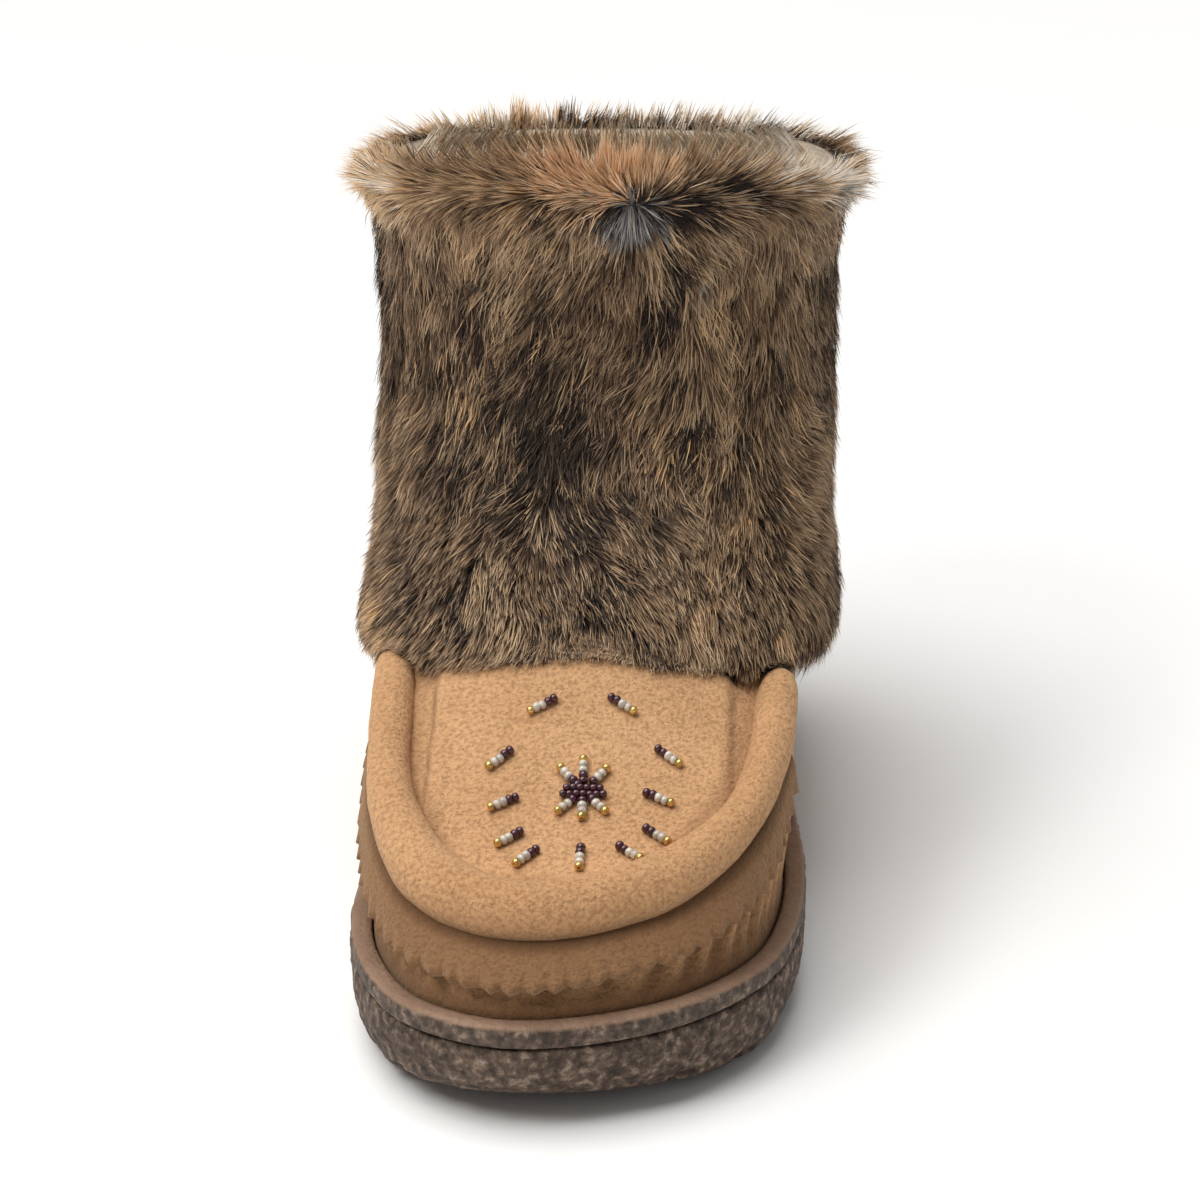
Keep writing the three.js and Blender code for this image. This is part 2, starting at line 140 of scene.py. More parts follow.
PLAN = [  # y, sole edge in, sole edge out, upper in, upper out
    (-128, -35, 21.5, -35, 21.5),
    (-105, -48, 43.3, -48, 43.3),
    (-78, -52.6, 51.2, -52.6, 51.2),
    (-42, -49, 51.8, -52.2, 52),
    (0, -38, 46, -51, 51.5),
    (45, -35, 41, -50, 50.2),
    (90, -37, 39.5, -45, 46.5),
    (120, -26.5, 29, -31, 33),
]
TOE_TIP_X = -12
HEEL_TIP_X = 1
BAND = 5.5
LIP_DEPTH = 2.5


def catmull(points, closed, steps):
    """Points along the centripetal Catmull-Rom curve, steps to each stretch."""
    p = np.asarray(points, float)
    if closed:
        p = np.vstack([p[-1:], p, p[:2]])
    else:
        p = np.vstack([2 * p[:1] - p[1:2], p, 2 * p[-1:] - p[-2:-1]])
    share = (np.arange(steps) / steps)[:, None]
    pieces = []
    for a, b, c, d in zip(p, p[1:], p[2:], p[3:]):
        gaps = [max(np.linalg.norm(v) ** 0.5, 1e-4) for v in (b - a, c - b, d - c)]
        leave = ((b - a) / gaps[0] - (c - a) / (gaps[0] + gaps[1]) + (c - b) / gaps[1]) * gaps[1]
        arrive = ((c - b) / gaps[1] - (d - b) / (gaps[1] + gaps[2]) + (d - c) / gaps[2]) * gaps[1]
        cubic = 2 * b - 2 * c + leave + arrive
        square = -3 * b + 3 * c - 2 * leave - arrive
        pieces.append(b + share * (leave + share * (square + share * cubic)))
    return np.vstack([*pieces, p[-2:-1]])


def profile(rows):
    curve = catmull(rows, False, 20)
    return lambda y: np.interp(y, curve[:, 0], curve[:, 1])


lip_height = profile([(TOE, 25), (-80, 24), (0, 27), (85, 31), (HEEL, 33)])
seam_height = profile([(TOE, 39), (-120, 43.5), (-80, 55.5), (-35, 68), (0, 70), (HEEL, 68)])
plug_height = profile([(-125, 40.5), (-112, 43.5), (-98, 48.5), (-82, 56.5), (-62, 68.5), (-40, 83)])


def outline(inside, outside):
    """Reads a closed outline at t: 0 at the toe tip, 0.5 at the heel tip, by length along each side."""
    lateral = [(row[outside], row[0]) for row in PLAN]
    medial = [(row[inside], row[0]) for row in PLAN][::-1]
    points = [(TOE_TIP_X, TOE), *lateral, (HEEL_TIP_X, HEEL), *medial]
    curve = catmull(points, True, 60)
    lengths = np.concatenate([[0], np.cumsum(np.linalg.norm(np.diff(curve, axis=0), axis=1))])
    half = (len(curve) - 1) // 2
    t = np.where(
        np.arange(len(curve)) <= half,
        0.5 * lengths / lengths[half],
        0.5 + 0.5 * (lengths - lengths[half]) / (lengths[-1] - lengths[half]),
    )

    def read(at):
        at = np.mod(at, 1.0)
        return np.stack([np.interp(at, t, curve[:, k]) for k in (0, 1)], axis=-1)

    return read


sole_outline = outline(1, 2)
full_outline = outline(3, 4)


NEAR = 0.004  # a short step in t, to find directions


def inset_outline(read, t, inset):
    along = unit(read(t + NEAR) - read(t - NEAR))
    return read(t) + np.stack([-along[..., 1], along[..., 0]], axis=-1) * inset


def dome_height(x, y):
    crown = np.maximum(0, 1 - (x / 44) ** 2)
    seam = seam_height(y) - 1.5
    return mix(seam, np.maximum(seam, plug_height(y)), crown)


def rearward(y):
    """0 in front of the plug's back edge and 1 behind the instep."""
    return ease(y, -52, -10)


def top_height(rear):
    return lambda x, y: mix(dome_height(x, y), rear, rearward(y))


# front, back, ball width, waist width, fullness, inset, height
UPPER = [
    (TOE, HEEL, 1, 1, 0, 5.4, lambda x, y: lip_height(y) - LIP_DEPTH + 0.35),
    (TOE, HEEL, 1, 1, 0.02, 5.4, lambda x, y: lip_height(y) + 2.5),
    (-128.5, 130, 0.93, 0.96, 0.6, 0, lambda x, y: mix(lip_height(y), seam_height(y), 0.48)),
    (-124.5, 129.5, 0.912, 0.97, 0.9, 0, lambda x, y: seam_height(y) - mix(5.5, 12, rearward(y))),
    (-119.5, 129, 0.85, 0.955, 1, 0, lambda x, y: mix(seam_height(y) - 2.2, 61, rearward(y))),
    (-112.5, 128.3, 0.8, 0.965, 1, 0, top_height(63.5)),
    (-98, 127.5, 0.74, 0.96, 1, 0, top_height(65.5)),
    (-82, 126.6, 0.72, 0.955, 1, 0, top_height(67.5)),
    (-62, 125.6, 0.76, 0.95, 1, 0, top_height(69.5)),
    (-42, 124.6, 0.82, 0.945, 1, 0, top_height(72)),
]
BULGE = 2
UNDER_ROLL = 3
SHELF = 4
PLUG_EDGE = 5
COLLAR = len(UPPER) - 1


def upper_ring(row, t):
    front, back, ball, waist, full, inset, height = row
    flat = mix(inset_outline(sole_outline, t, inset), inset_outline(full_outline, t, inset), full)
    y = front + (flat[..., 1] - TOE) * (back - front) / (HEEL - TOE)
    x = flat[..., 0] * mix(ball, waist, ease(y, -60, 0))
    return np.stack([x, y, height(x, y)], axis=-1)


def surface(s, t):
    """The upper's outer surface at height s, counted in rings, and place t round the foot."""
    s, t = np.broadcast_arrays(np.asarray(s, float), np.asarray(t, float))
    return between(np.stack([upper_ring(row, t) for row in UPPER]), s)


def outward(s, t):
    s = np.asarray(s, float)
    up = surface(np.minimum(COLLAR, s + 0.1), t) - surface(np.maximum(0, s - 0.1), t)
    along = surface(s, t + NEAR) - surface(s, t - NEAR)
    return unit(np.cross(along, up))


# ---- meshes


def new_mesh(name, points, faces, corners=4):
    """One mesh object from points in millimetres and faces that all have the same number of corners."""
    mesh = bpy.data.meshes.new(name)
    placed = (np.asarray(points, float).reshape(-1, 3) + (0, SHIFT_Y, 0)) * MM
    faces = np.asarray(faces, np.int32).reshape(-1, corners)
    mesh.vertices.add(len(placed))
    mesh.vertices.foreach_set("co", placed.astype(np.float32).ravel())
    mesh.loops.add(faces.size)
    mesh.loops.foreach_set("vertex_index", faces.ravel())
    mesh.polygons.add(len(faces))
    mesh.polygons.foreach_set("loop_start", np.arange(0, faces.size, corners, dtype=np.int32))
    mesh.polygons.foreach_set("use_smooth", np.ones(len(faces), bool))
    mesh.update(calc_edges=True)
    mesh.validate()
    piece = bpy.data.objects.new(name, mesh)
    bpy.context.collection.objects.link(piece)
    return piece


def grid_faces(rows, columns, wrap_columns=False, wrap_rows=False):
    r = np.arange(rows if wrap_rows else rows - 1)[:, None]
    c = np.arange(columns if wrap_columns else columns - 1)[None, :]
    r2, c2 = (r + 1) % rows, (c + 1) % columns
    quads = [r * columns + c, r * columns + c2, r2 * columns + c2, r2 * columns + c]
    return np.stack(quads, axis=-1).reshape(-1, 4)


def tidy_mesh(piece, distance=0.00002):
    """Joins vertices that meet and turns faces outwards."""
    bm = bmesh.new()
    bm.from_mesh(piece.data)
    bmesh.ops.remove_doubles(bm, verts=bm.verts, dist=distance)
    bmesh.ops.recalc_face_normals(bm, faces=bm.faces)
    for face in bm.faces:
        face.smooth = True
    bm.to_mesh(piece.data)
    bm.free()
    return piece


def sweep(name, sections, painted_shade_and_ledge=None):
    """A closed tube through closed sections, an array (steps, sides, 3), its ends closed by a fan."""
    steps, sides, _ = sections.shape
    middle = sections[[0, -1]].mean(axis=1)
    points = np.vstack([sections.reshape(-1, 3), middle])
    faces = grid_faces(steps, sides, wrap_columns=True)
    ring = np.arange(sides)
    nxt = (ring + 1) % sides
    last = (steps - 1) * sides
    start = np.stack([np.full(sides, steps * sides), nxt, ring], axis=1)
    end = np.stack([np.full(sides, steps * sides + 1), last + ring, last + nxt], axis=1)
    triangles = np.vstack([faces[:, [0, 1, 2]], faces[:, [0, 2, 3]], start, end])
    piece = new_mesh(name, points, triangles, corners=3)
    if painted_shade_and_ledge is not None:
        set_painted_shade_and_ledge(piece, np.concatenate([painted_shade_and_ledge.ravel(), [0, 0]]))
    return tidy_mesh(piece)


def set_painted_shade_and_ledge(piece, values):
    """Keeps a value at each point: for the suede, how much painted shade its material puts there; for the
    sole band, which points are its ledge.
    """
    layer = piece.data.attributes.new("painted_shade_and_ledge", "FLOAT", "POINT")
    layer.data.foreach_set("value", np.asarray(values, np.float32).ravel())


def two_materials(piece, rows, columns, switch, first, second):
    """The first material on the rows of a grid before switch, and the second on the others."""
    piece.data.materials.append(first)
    piece.data.materials.append(second)
    index = np.repeat((np.arange(rows) >= switch).astype(np.int32), columns)
    piece.data.polygons.foreach_set("material_index", index)


def finish_piece(piece, material, slot, *nodes):
    if not piece.data.materials:
        piece.data.materials.append(material)
    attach(piece, "root")
    if nodes:
        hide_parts(*nodes)
    return piece


# ---- materials


class Nodes:
    """A material's node tree, with short calls to add nodes and links."""

    def __init__(self, name):
        self.material = bpy.data.materials.new(name)
        self.material.use_nodes = True
        self.tree = self.material.node_tree
        self.shader = self.tree.nodes["Principled BSDF"]

    def add(self, kind, inputs=None, **settings):
        node = self.tree.nodes.new(kind)
        for key, value in settings.items():
            setattr(node, key, value)
        for key, value in (inputs or {}).items():
            self.put(node, key, value)
        return node

    def put(self, node, key, value):
        if isinstance(value, bpy.types.NodeSocket):
            self.tree.links.new(value, node.inputs[key])
        else:
            node.inputs[key].default_value = value

    def shade(self, **values):
        for key, value in values.items():
            self.put(self.shader, key.replace("_", " "), value)

    def coords(self):
        return self.add("ShaderNodeTexCoord").outputs["Object"]

    def noise(self, scale, detail=4.0, rough=0.6, vector=None):
        """Noise whose lumps are 1 / scale metres across."""
        node = self.add("ShaderNodeTexNoise", {"Scale": scale, "Detail": detail, "Roughness": rough})
        self.put(node, "Vector", vector or self.coords())
        return node.outputs["Fac"]

    def ramp(self, factor, stops):
        node = self.add("ShaderNodeValToRGB", {"Fac": factor})
        ramp = node.color_ramp
        while len(ramp.elements) < len(stops):
            ramp.elements.new(1.0)
        for element, (place, colour) in zip(ramp.elements, stops):
            element.position = place
            element.color = (*colour, 1.0)
        return node.outputs["Color"]

    def blend(self, factor, a, b, mode="MIX"):
        node = self.add("ShaderNodeMix", data_type="RGBA", blend_type=mode)
        colours = [socket for socket in node.inputs if socket.type == "RGBA"]
        self.put(node, "Factor", factor)
        for socket, value in zip(colours, (a, b)):
            if isinstance(value, bpy.types.NodeSocket):
                self.tree.links.new(value, socket)
            else:
                socket.default_value = (*value, 1.0)
        return [socket for socket in node.outputs if socket.type == "RGBA"][0]

    def bump(self, height, strength, distance, normal=None):
        node = self.add("ShaderNodeBump", {"Height": height, "Strength": strength, "Distance": distance})
        if normal is not None:
            self.put(node, "Normal", normal)
        return node.outputs["Normal"]


def suede_material(name, light, dark, shade):
    n = Nodes(name)
    where = n.coords()
    cloud = n.noise(45, 4, 0.6, where)
    nap = n.noise(2200, 2, 0.7, where)
    grain = n.noise(1000, 3, 0.6, where)
    base = n.ramp(cloud, [(0.32, dark), (0.68, light)])
    flecks = n.ramp(grain, [(0.36, (0.72, 0.67, 0.61)), (0.5, (1.0, 0.99, 0.98)), (0.64, (1.18, 1.17, 1.15))])
    base = n.blend(0.9, base, flecks, "MULTIPLY")
    # Painted shade: the suede darkens towards its shade colour by this point attribute, in creases, under the
    # roll and over the trim.
    painted_shade = n.add("ShaderNodeAttribute", attribute_name="painted_shade_and_ledge").outputs["Fac"]
    base = n.blend(painted_shade, base, shade)
    normal = n.bump(grain, 0.8, 0.0009)
    normal = n.bump(nap, 0.6, 0.0004, normal)
    n.shade(Base_Color=base, Roughness=0.95, Sheen_Weight=0.25, Sheen_Roughness=0.5, Normal=normal)
    n.shader.inputs["Specular IOR Level"].default_value = 0.12
    n.shader.inputs["Sheen Tint"].default_value = (1.0, 0.80, 0.58, 1.0)
    return n.material


def crepe_parts(n):
    """Colour and bump normal of crumbly crepe rubber."""
    where = n.coords()
    crumbs = n.add("ShaderNodeTexVoronoi", {"Vector": where, "Scale": 560.0}, feature="F1")
    lumps = n.noise(430, 4, 0.62, where)
    cloud = n.noise(90, 4, 0.6, where)
    veins = n.ramp(crumbs.outputs["Distance"], [(0.0, (0.19, 0.128, 0.092)), (0.45, (0.118, 0.079, 0.057)),
                                                (0.85, (0.045, 0.031, 0.023))])
    mottled = n.ramp(lumps, [(0.36, (0.030, 0.021, 0.016)), (0.47, (0.088, 0.062, 0.046)),
                             (0.56, (0.185, 0.128, 0.095)), (0.66, (0.42, 0.325, 0.25))])
    base = n.blend(0.66, veins, mottled)
    shade = n.ramp(cloud, [(0.3, (0.72, 0.68, 0.65)), (0.7, (1.15, 1.14, 1.12))])
    base = n.blend(0.75, base, shade, "MULTIPLY")
    return base, n.bump(lumps, 0.9, 0.0012)


def crepe_material():
    n = Nodes("crepe_rubber")
    base, normal = crepe_parts(n)
    n.shade(Base_Color=base, Roughness=0.72, Normal=normal)
    n.shader.inputs["Specular IOR Level"].default_value = 0.3
    return n.material


def band_material():
    """Smooth on the ledge round the upper, and crepe like the sole's wall at its side."""
    n = Nodes("band_rubber")
    cloud = n.noise(60, 5, 0.6)
    fine = n.noise(900, 3, 0.6)
    ledge = n.ramp(cloud, [(0.3, (0.25, 0.152, 0.100)), (0.7, (0.35, 0.222, 0.150))])
    fleck = n.ramp(fine, [(0.35, (0.7, 0.66, 0.62)), (0.65, (1.1, 1.08, 1.05))])
    ledge = n.blend(0.35, ledge, fleck, "MULTIPLY")
    crepe, normal = crepe_parts(n)
    top = n.add("ShaderNodeAttribute", attribute_name="painted_shade_and_ledge").outputs["Fac"]
    n.shade(Base_Color=n.blend(top, crepe, ledge), Roughness=0.62, Normal=n.bump(fine, 0.2, 0.0003, normal))
    n.shader.inputs["Specular IOR Level"].default_value = 0.35
    return n.material


def fleece_material():
    n = Nodes("fleece")
    curl = n.noise(240, 5, 0.75)
    fine = n.noise(1100, 3, 0.7)
    base = n.ramp(curl, [(0.3, (0.33, 0.24, 0.15)), (0.55, (0.56, 0.44, 0.30)), (0.75, (0.70, 0.58, 0.43))])
    n.shade(Base_Color=base, Roughness=1.0, Sheen_Weight=0.5,
            Normal=n.bump(fine, 0.5, 0.0006, n.bump(curl, 0.9, 0.002)))
    return n.material


def hide_material():
    n = Nodes("hide")
    cloud = n.noise(90, 5, 0.7)
    base = n.ramp(cloud, [(0.3, (0.035, 0.026, 0.019)), (0.7, (0.10, 0.075, 0.052))])
    n.shade(Base_Color=base, Roughness=0.95, Normal=n.bump(n.noise(700, 3, 0.7), 0.5, 0.0008))
    return n.material


def bead_material(name, colour, roughness, metallic):
    n = Nodes(name)
    tint = n.noise(700, 2, 0.5)
    low = tuple(c * 0.72 for c in colour)
    high = tuple(min(1.0, c * 1.2) for c in colour)
    n.shade(Base_Color=n.ramp(tint, [(0.35, low), (0.65, high)]), Roughness=roughness, Metallic=metallic)
    n.shader.inputs["Coat Weight"].default_value = 0.6
    n.shader.inputs["Coat Roughness"].default_value = 0.08
    return n.material


# The fur's pigments: place along u, then the colour at a strand's root, middle and tip.
PIGMENTS = {
    "BLACK": (0.00, (0.028, 0.022, 0.019), (0.020, 0.014, 0.011), (0.012, 0.008, 0.007)),
    "DARK": (0.12, (0.050, 0.037, 0.030), (0.052, 0.033, 0.022), (0.030, 0.019, 0.012)),
    "AGOUTI": (0.26, (0.040, 0.028, 0.022), (0.070, 0.042, 0.026), (0.580, 0.395, 0.240)),
    "BROWN": (0.40, (0.080, 0.057, 0.041), (0.160, 0.093, 0.053), (0.300, 0.180, 0.100)),
    "TAN": (0.54, (0.105, 0.073, 0.049), (0.240, 0.148, 0.084), (0.530, 0.345, 0.196)),
    "LIGHT": (0.66, (0.160, 0.112, 0.074), (0.460, 0.315, 0.188), (0.745, 0.545, 0.352)),
    "GOLDEN": (0.76, (0.260, 0.155, 0.078), (0.610, 0.375, 0.185), (0.800, 0.560, 0.325)),
    "ORANGE": (0.84, (0.500, 0.300, 0.165), (0.850, 0.510, 0.275), (0.940, 0.650, 0.410)),
    "CREAM": (0.92, (0.600, 0.520, 0.420), (0.900, 0.815, 0.680), (0.965, 0.915, 0.820)),
    "GREY": (1.00, (0.085, 0.086, 0.092), (0.150, 0.154, 0.168), (0.240, 0.234, 0.232)),
}


def fur_material():
    """Each strand has its own narrow column of the palette map: u is its pigment, v runs root to tip."""
    n = Nodes("fur")
    place = n.add("ShaderNodeUVMap", uv_map="OFBake").outputs["UV"]
    split = n.add("ShaderNodeSeparateXYZ", {"Vector": place})
    u, v = split.outputs["X"], split.outputs["Y"]
    root, middle, tip = (n.ramp(u, [(row[0], row[k]) for row in PIGMENTS.values()]) for k in (1, 2, 3))
    lower, upper = (
        n.add("ShaderNodeMapRange", {"Value": v, "From Min": low, "From Max": high},
              interpolation_type="SMOOTHSTEP").outputs["Result"]
        for low, high in ((0.08, 0.5), (0.56, 0.92))
    )
    colour = n.blend(upper, n.blend(lower, root, middle), tip)
    n.shade(Base_Color=colour, Roughness=0.6)
    n.shader.inputs["Specular IOR Level"].default_value = 0.22
    return n.material


# ---- sole

SOLE_COLUMNS = 760
LUG_GROOVES = [(-122, -40), (58, 122)]  # stretches of the tread that are grooved
GROOVE_PITCH = 13.5
GROOVE_WIDTH = 4.5
GROOVE_DEPTH = 3.5


def bottom_height(y):
    toe = 8 * np.maximum(0, (-96 - y) / 42) ** 1.7
    arch = 3 * ease(y, -30, -5) * (1 - ease(y, 30, 50))
    heel = 3 * np.maximum(0, (y - 118) / 16) ** 1.5
    return toe + arch + heel


def groove(y):
    """How deep the tread is cut at y."""
    depth = np.zeros_like(y)
    for start, stop in LUG_GROOVES:
        for centre in np.arange(start, stop + 0.1, GROOVE_PITCH):
            edge = np.abs(y - centre)
            cut = 1 - ease(edge, GROOVE_WIDTH / 2 - 0.5, GROOVE_WIDTH / 2 + 0.3)
            depth = np.maximum(depth, GROOVE_DEPTH * cut)
    return depth


def sole_ring(count, inset, height):
    t = np.arange(count) / count
    flat = inset_outline(sole_outline, t, inset)
    return np.column_stack([flat, height(flat[:, 1])])


def strip_cap(ring, across):
    """Points of a sheet across a ring, from its toe to its heel."""
    half = len(ring) // 2
    left = ring[: half + 1]
    right = ring[(-np.arange(half + 1)) % len(ring)]
    share = np.linspace(0, 1, across)[None, :, None]
    return mix(left[:, None, :], right[:, None, :], share)


def sole_body(name, wall, top, bottom, across, ledge_from=None):
    """A closed body from its wall, an array of rings from bottom to top, and the heights of its two faces."""
    rings, count, _ = wall.shape
    under = strip_cap(wall[0], across[0])
    over = strip_cap(wall[-1], across[1])
    for sheet, height in ((under, bottom), (over, top)):
        inner = sheet[:, 1:-1]
        inner[..., 2] = height(inner[..., 0], inner[..., 1])
    faces = [grid_faces(rings, count, wrap_columns=True)]
    points = [wall.reshape(-1, 3)]
    offset = rings * count
    for sheet in (under, over):
        faces.append(grid_faces(*sheet.shape[:2]) + offset)
        points.append(sheet.reshape(-1, 3))
        offset += sheet.shape[0] * sheet.shape[1]
    piece = new_mesh(name, np.vstack(points), np.vstack(faces))
    if ledge_from is not None:
        ledge = np.zeros(offset)
        ledge[ledge_from * count: rings * count] = 1.0
        set_painted_shade_and_ledge(piece, ledge)
    return tidy_mesh(piece)


def roughen(wall, rough, lumps):
    """Pushes the rings of a sole's wall in and out, each by its own share of the lumps."""
    t = np.arange(wall.shape[1]) / wall.shape[1]
    edge = unit(sole_outline(t) - inset_outline(sole_outline, t, 1.0))
    wall[..., :2] += (lumps * np.array(rough)[:, None])[..., None] * edge


def make_outsole():
    top = lambda y: lip_height(y) - BAND
    low = lambda y: bottom_height(y) + groove(y)
    sections = [  # inset, share of the height
        (6.5, 0), (5.2, 0.012), (4.0, 0.05), (3.0, 0.105), (2.3, 0.17), (1.7, 0.24),
        (1.2, 0.31), (0.8, 0.38), (0.5, 0.46), (0.25, 0.54), (0.08, 0.62), (0, 0.7),
        (0, 0.78), (0.02, 0.85), (0.08, 0.92), (0.35, 0.975), (0.9, 1.0),
    ]
    wall = []
    for inset, share in sections:
        ring = sole_ring(SOLE_COLUMNS, inset, lambda y: mix(bottom_height(y), top(y), share))
        ring[:, 2] = np.maximum(ring[:, 2], low(ring[:, 1]) + 0.4 * share)
        wall.append(ring)
    wall = np.array(wall)
    lumps = 0.34 * noise(wall, 2.4, 5) + 0.26 * noise(wall, 1.3, 6) + 0.25 * noise(wall, 6.5, 8)
    roughen(wall, [0, 0.5, 1, 1.1, 1.1, 1.1, 1.1, 1.1, 1.1, 1.1, 1, 1, 1, 0.9, 0.5, 0.15, 0], lumps)
    pitted = lambda x, y: low(y) + 0.25 * np.maximum(0, noise(plan(x, y), 2.2, 9)) * (low(y) > 0.3)
    return sole_body("outsole_crepe", wall, lambda x, y: top(y), pitted, across=(22, 4))


def make_midsole():
    sections = [  # inset, height above the band's foot
        (0.75, 0.35), (0.25, 0.7), (0.02, 1.3), (0, 2.4), (0, 3.6), (0.1, 4.5), (0.45, 5.15),
        (1.0, 5.45), (1.8, 5.5), (3.4, 5.5), (4.4, 5.4), (4.85, 5.0), (5.0, 4.2),
        (5.0, BAND - LIP_DEPTH),
    ]
    foot = lambda y: lip_height(y) - BAND
    wall = [sole_ring(SOLE_COLUMNS, inset, lambda y: foot(y) + height) for inset, height in sections]
    wall = np.array(wall)
    wall[3:9, :, 2] += 0.18 * noise(wall[3:9], 14, 3)
    lumps = 0.3 * noise(wall, 2.4, 5) + 0.22 * noise(wall, 1.3, 6)
    roughen(wall, [0.2, 0.6, 1, 1, 1, 0.9, 0.6, 0.3, 0.1, 0, 0, 0, 0, 0], lumps)
    seat = lambda x, y: lip_height(y) - LIP_DEPTH
    under = lambda x, y: foot(y) + 0.35
    return sole_body("midsole_band", wall, seat, under, across=(4, 4), ledge_from=6)


def make_insole():
    foot = lambda y: lip_height(y) - LIP_DEPTH + 0.35
    sections = [(9.6, 0), (9.6, 1.5), (9.8, 2.6), (10.6, 3.3), (12.2, 3.6)]
    wall = np.array([sole_ring(360, inset, lambda y: foot(y) + height) for inset, height in sections])
    cupped = lambda x, y: foot(y) + 3.6 + 0.5 * noise(plan(x, y), 9, 4)
    return sole_body("insole_fleece", wall, cupped, lambda x, y: foot(y), across=(4, 30))


# ---- upper

SUEDE = 3.0
SEAT_DEPTH = 2.2  # how far the shell is sunk under the plug
# Soft gathers of the vamp below the rolled rim: place round the foot, depth, half width in t.
GATHERS = [
    (-0.148, 0.9, 0.0040), (-0.136, 1.2, 0.0042), (-0.125, 1.3, 0.0036), (-0.115, 1.5, 0.0042),
    (-0.104, 1.1, 0.0034), (-0.093, 1.3, 0.0044), (-0.080, 0.9, 0.0036), (-0.066, 1.1, 0.0046),
    (-0.049, 0.7, 0.0040), (-0.030, 0.9, 0.0050), (-0.010, 0.6, 0.0044), (0.012, 0.8, 0.0052),
    (0.033, 0.7, 0.0044), (0.052, 1.1, 0.0048), (0.069, 1.3, 0.0042), (0.083, 1.5, 0.0046),
    (0.096, 1.2, 0.0036), (0.107, 1.5, 0.0042), (0.118, 1.1, 0.0036), (0.129, 1.3, 0.0042),
    (0.141, 1.0, 0.0038), (0.153, 0.8, 0.0042),
]


def turn_of(t):
    """t as a signed distance from the toe, -0.5 to 0.5."""
    return np.mod(t + 0.5, 1.0) - 0.5


def gather_depth(s, t):
    signed = turn_of(t) + 0.0016 * np.sin(2.1 * s + 9 * t)
    depth = np.zeros(np.broadcast(s, t).shape)
    for place, deep, width in GATHERS:
        depth = depth + deep * bump_at(signed, place, width)
    return 1.5 * depth * ease(s, 0.6, 1.5) * (1 - ease(s, 3.3, 3.9))


def upper_points(s, t, amount):
    points = surface(s, t)
    normal = outward(s, t)
    slack = 0.55 * noise(points, 21, 11) + 0.25 * noise(points, 8, 12)
    slack = slack * ease(s, 0.8, 1.6) * (1 - ease(s, 7.5, 8.5))
    level = s <= 1
    normal = unit(np.where(level[..., None], normal * (1, 1, 0), normal))
    lift = amount + slack - gather_depth(s, t)
    return points + normal * lift[..., None]


def make_upper(suede, fleece):
    count = 520
    spans = np.linspace(0, 1, 4)[:-1], np.linspace(1, 4, 28)[:-1], np.linspace(4, COLLAR, 12)
    outer = np.concatenate(spans)
    inner = np.linspace(COLLAR, 0, 10)
    t = np.arange(count) / count
    s_out, t_out = np.meshgrid(outer, t, indexing="ij")
    s_in, t_in = np.meshgrid(inner, t, indexing="ij")
    rows = np.concatenate([upper_points(s_out, t_out, 0.0), upper_points(s_in, t_in, -SUEDE)])
    outside = (np.arange(len(rows)) < len(outer))[:, None]
    sunk = ease(plug_side(rows[..., 0], rows[..., 1]), 0.0, 2.5) * outside
    rows[..., 2] -= SEAT_DEPTH * (sunk * (1 - ease(rows[..., 1], -50, -44)))
    piece = new_mesh("upper_suede", rows.reshape(-1, 3), grid_faces(len(rows), count, True, True)[:, ::-1])
    two_materials(piece, len(rows), count, len(outer), suede, fleece)
    s, t = np.vstack([s_out, s_in]), np.vstack([t_out, t_in])
    # Painted shade in the vamp's gathers and over its lowest rows, under the trim next to the sole's lip.
    painted_shade_and_ledge = np.clip(gather_depth(s, t) * 0.42, 0, 0.6)
    low = 1 - ease(s, 0.9, 1.9)
    set_painted_shade_and_ledge(piece, np.maximum(painted_shade_and_ledge, 0.8 * low))
    return piece


GAP = 0.12  # between the plug's edge and the roll, counted in rings

# Points along the plug's edge in plan.
edge_t = np.linspace(-0.21, 0.21, 241)
edge_line = surface(PLUG_EDGE - GAP, edge_t)


def plug_side(x, y):
    """How far inside the plug's edge a point of the plan lies, in millimetres; below 0 outside it."""
    left = edge_line[edge_t <= 0]
    right = edge_line[edge_t >= 0][::-1]
    reach_in = np.interp(y, left[::-1][:, 1], left[::-1][:, 0])
    reach_out = np.interp(y, right[::-1][:, 1], right[::-1][:, 0])
    front = y - edge_line[:, 1].min()
    return np.minimum(np.minimum(x - reach_in, reach_out - x), front)


PLUG_BACK = -40.0
CREASE_X = 34.4
PLUG_THICKNESS = 2.4


def crease_side(x, y):
    """Distance from the plug's middle, wandering a little so that its creases do."""
    return np.abs(x) + 0.5 * noise(plan(x, y), 26, 21)


def plug_relief(x, y):
    """Soft relief of the plug: folds parallel to the rim, a valley beside it, and a slack middle."""
    points = plan(x, y)
    side = crease_side(x, y)
    reach = 1 - ease(-y, 86, 104)
    fold = 0.75 * bump_at(side, CREASE_X - 2.2, 2.2) - 1.0 * ease(side, CREASE_X - 0.7, CREASE_X + 0.5)
    slack = 0.4 * noise(points, 30, 22) + 0.12 * noise(points, 9, 23)
    return fold * reach + slack


def plug_top(x, y):
    return mix(dome_height(x, y), 84.0, ease(y, -43, -10)) + 0.55


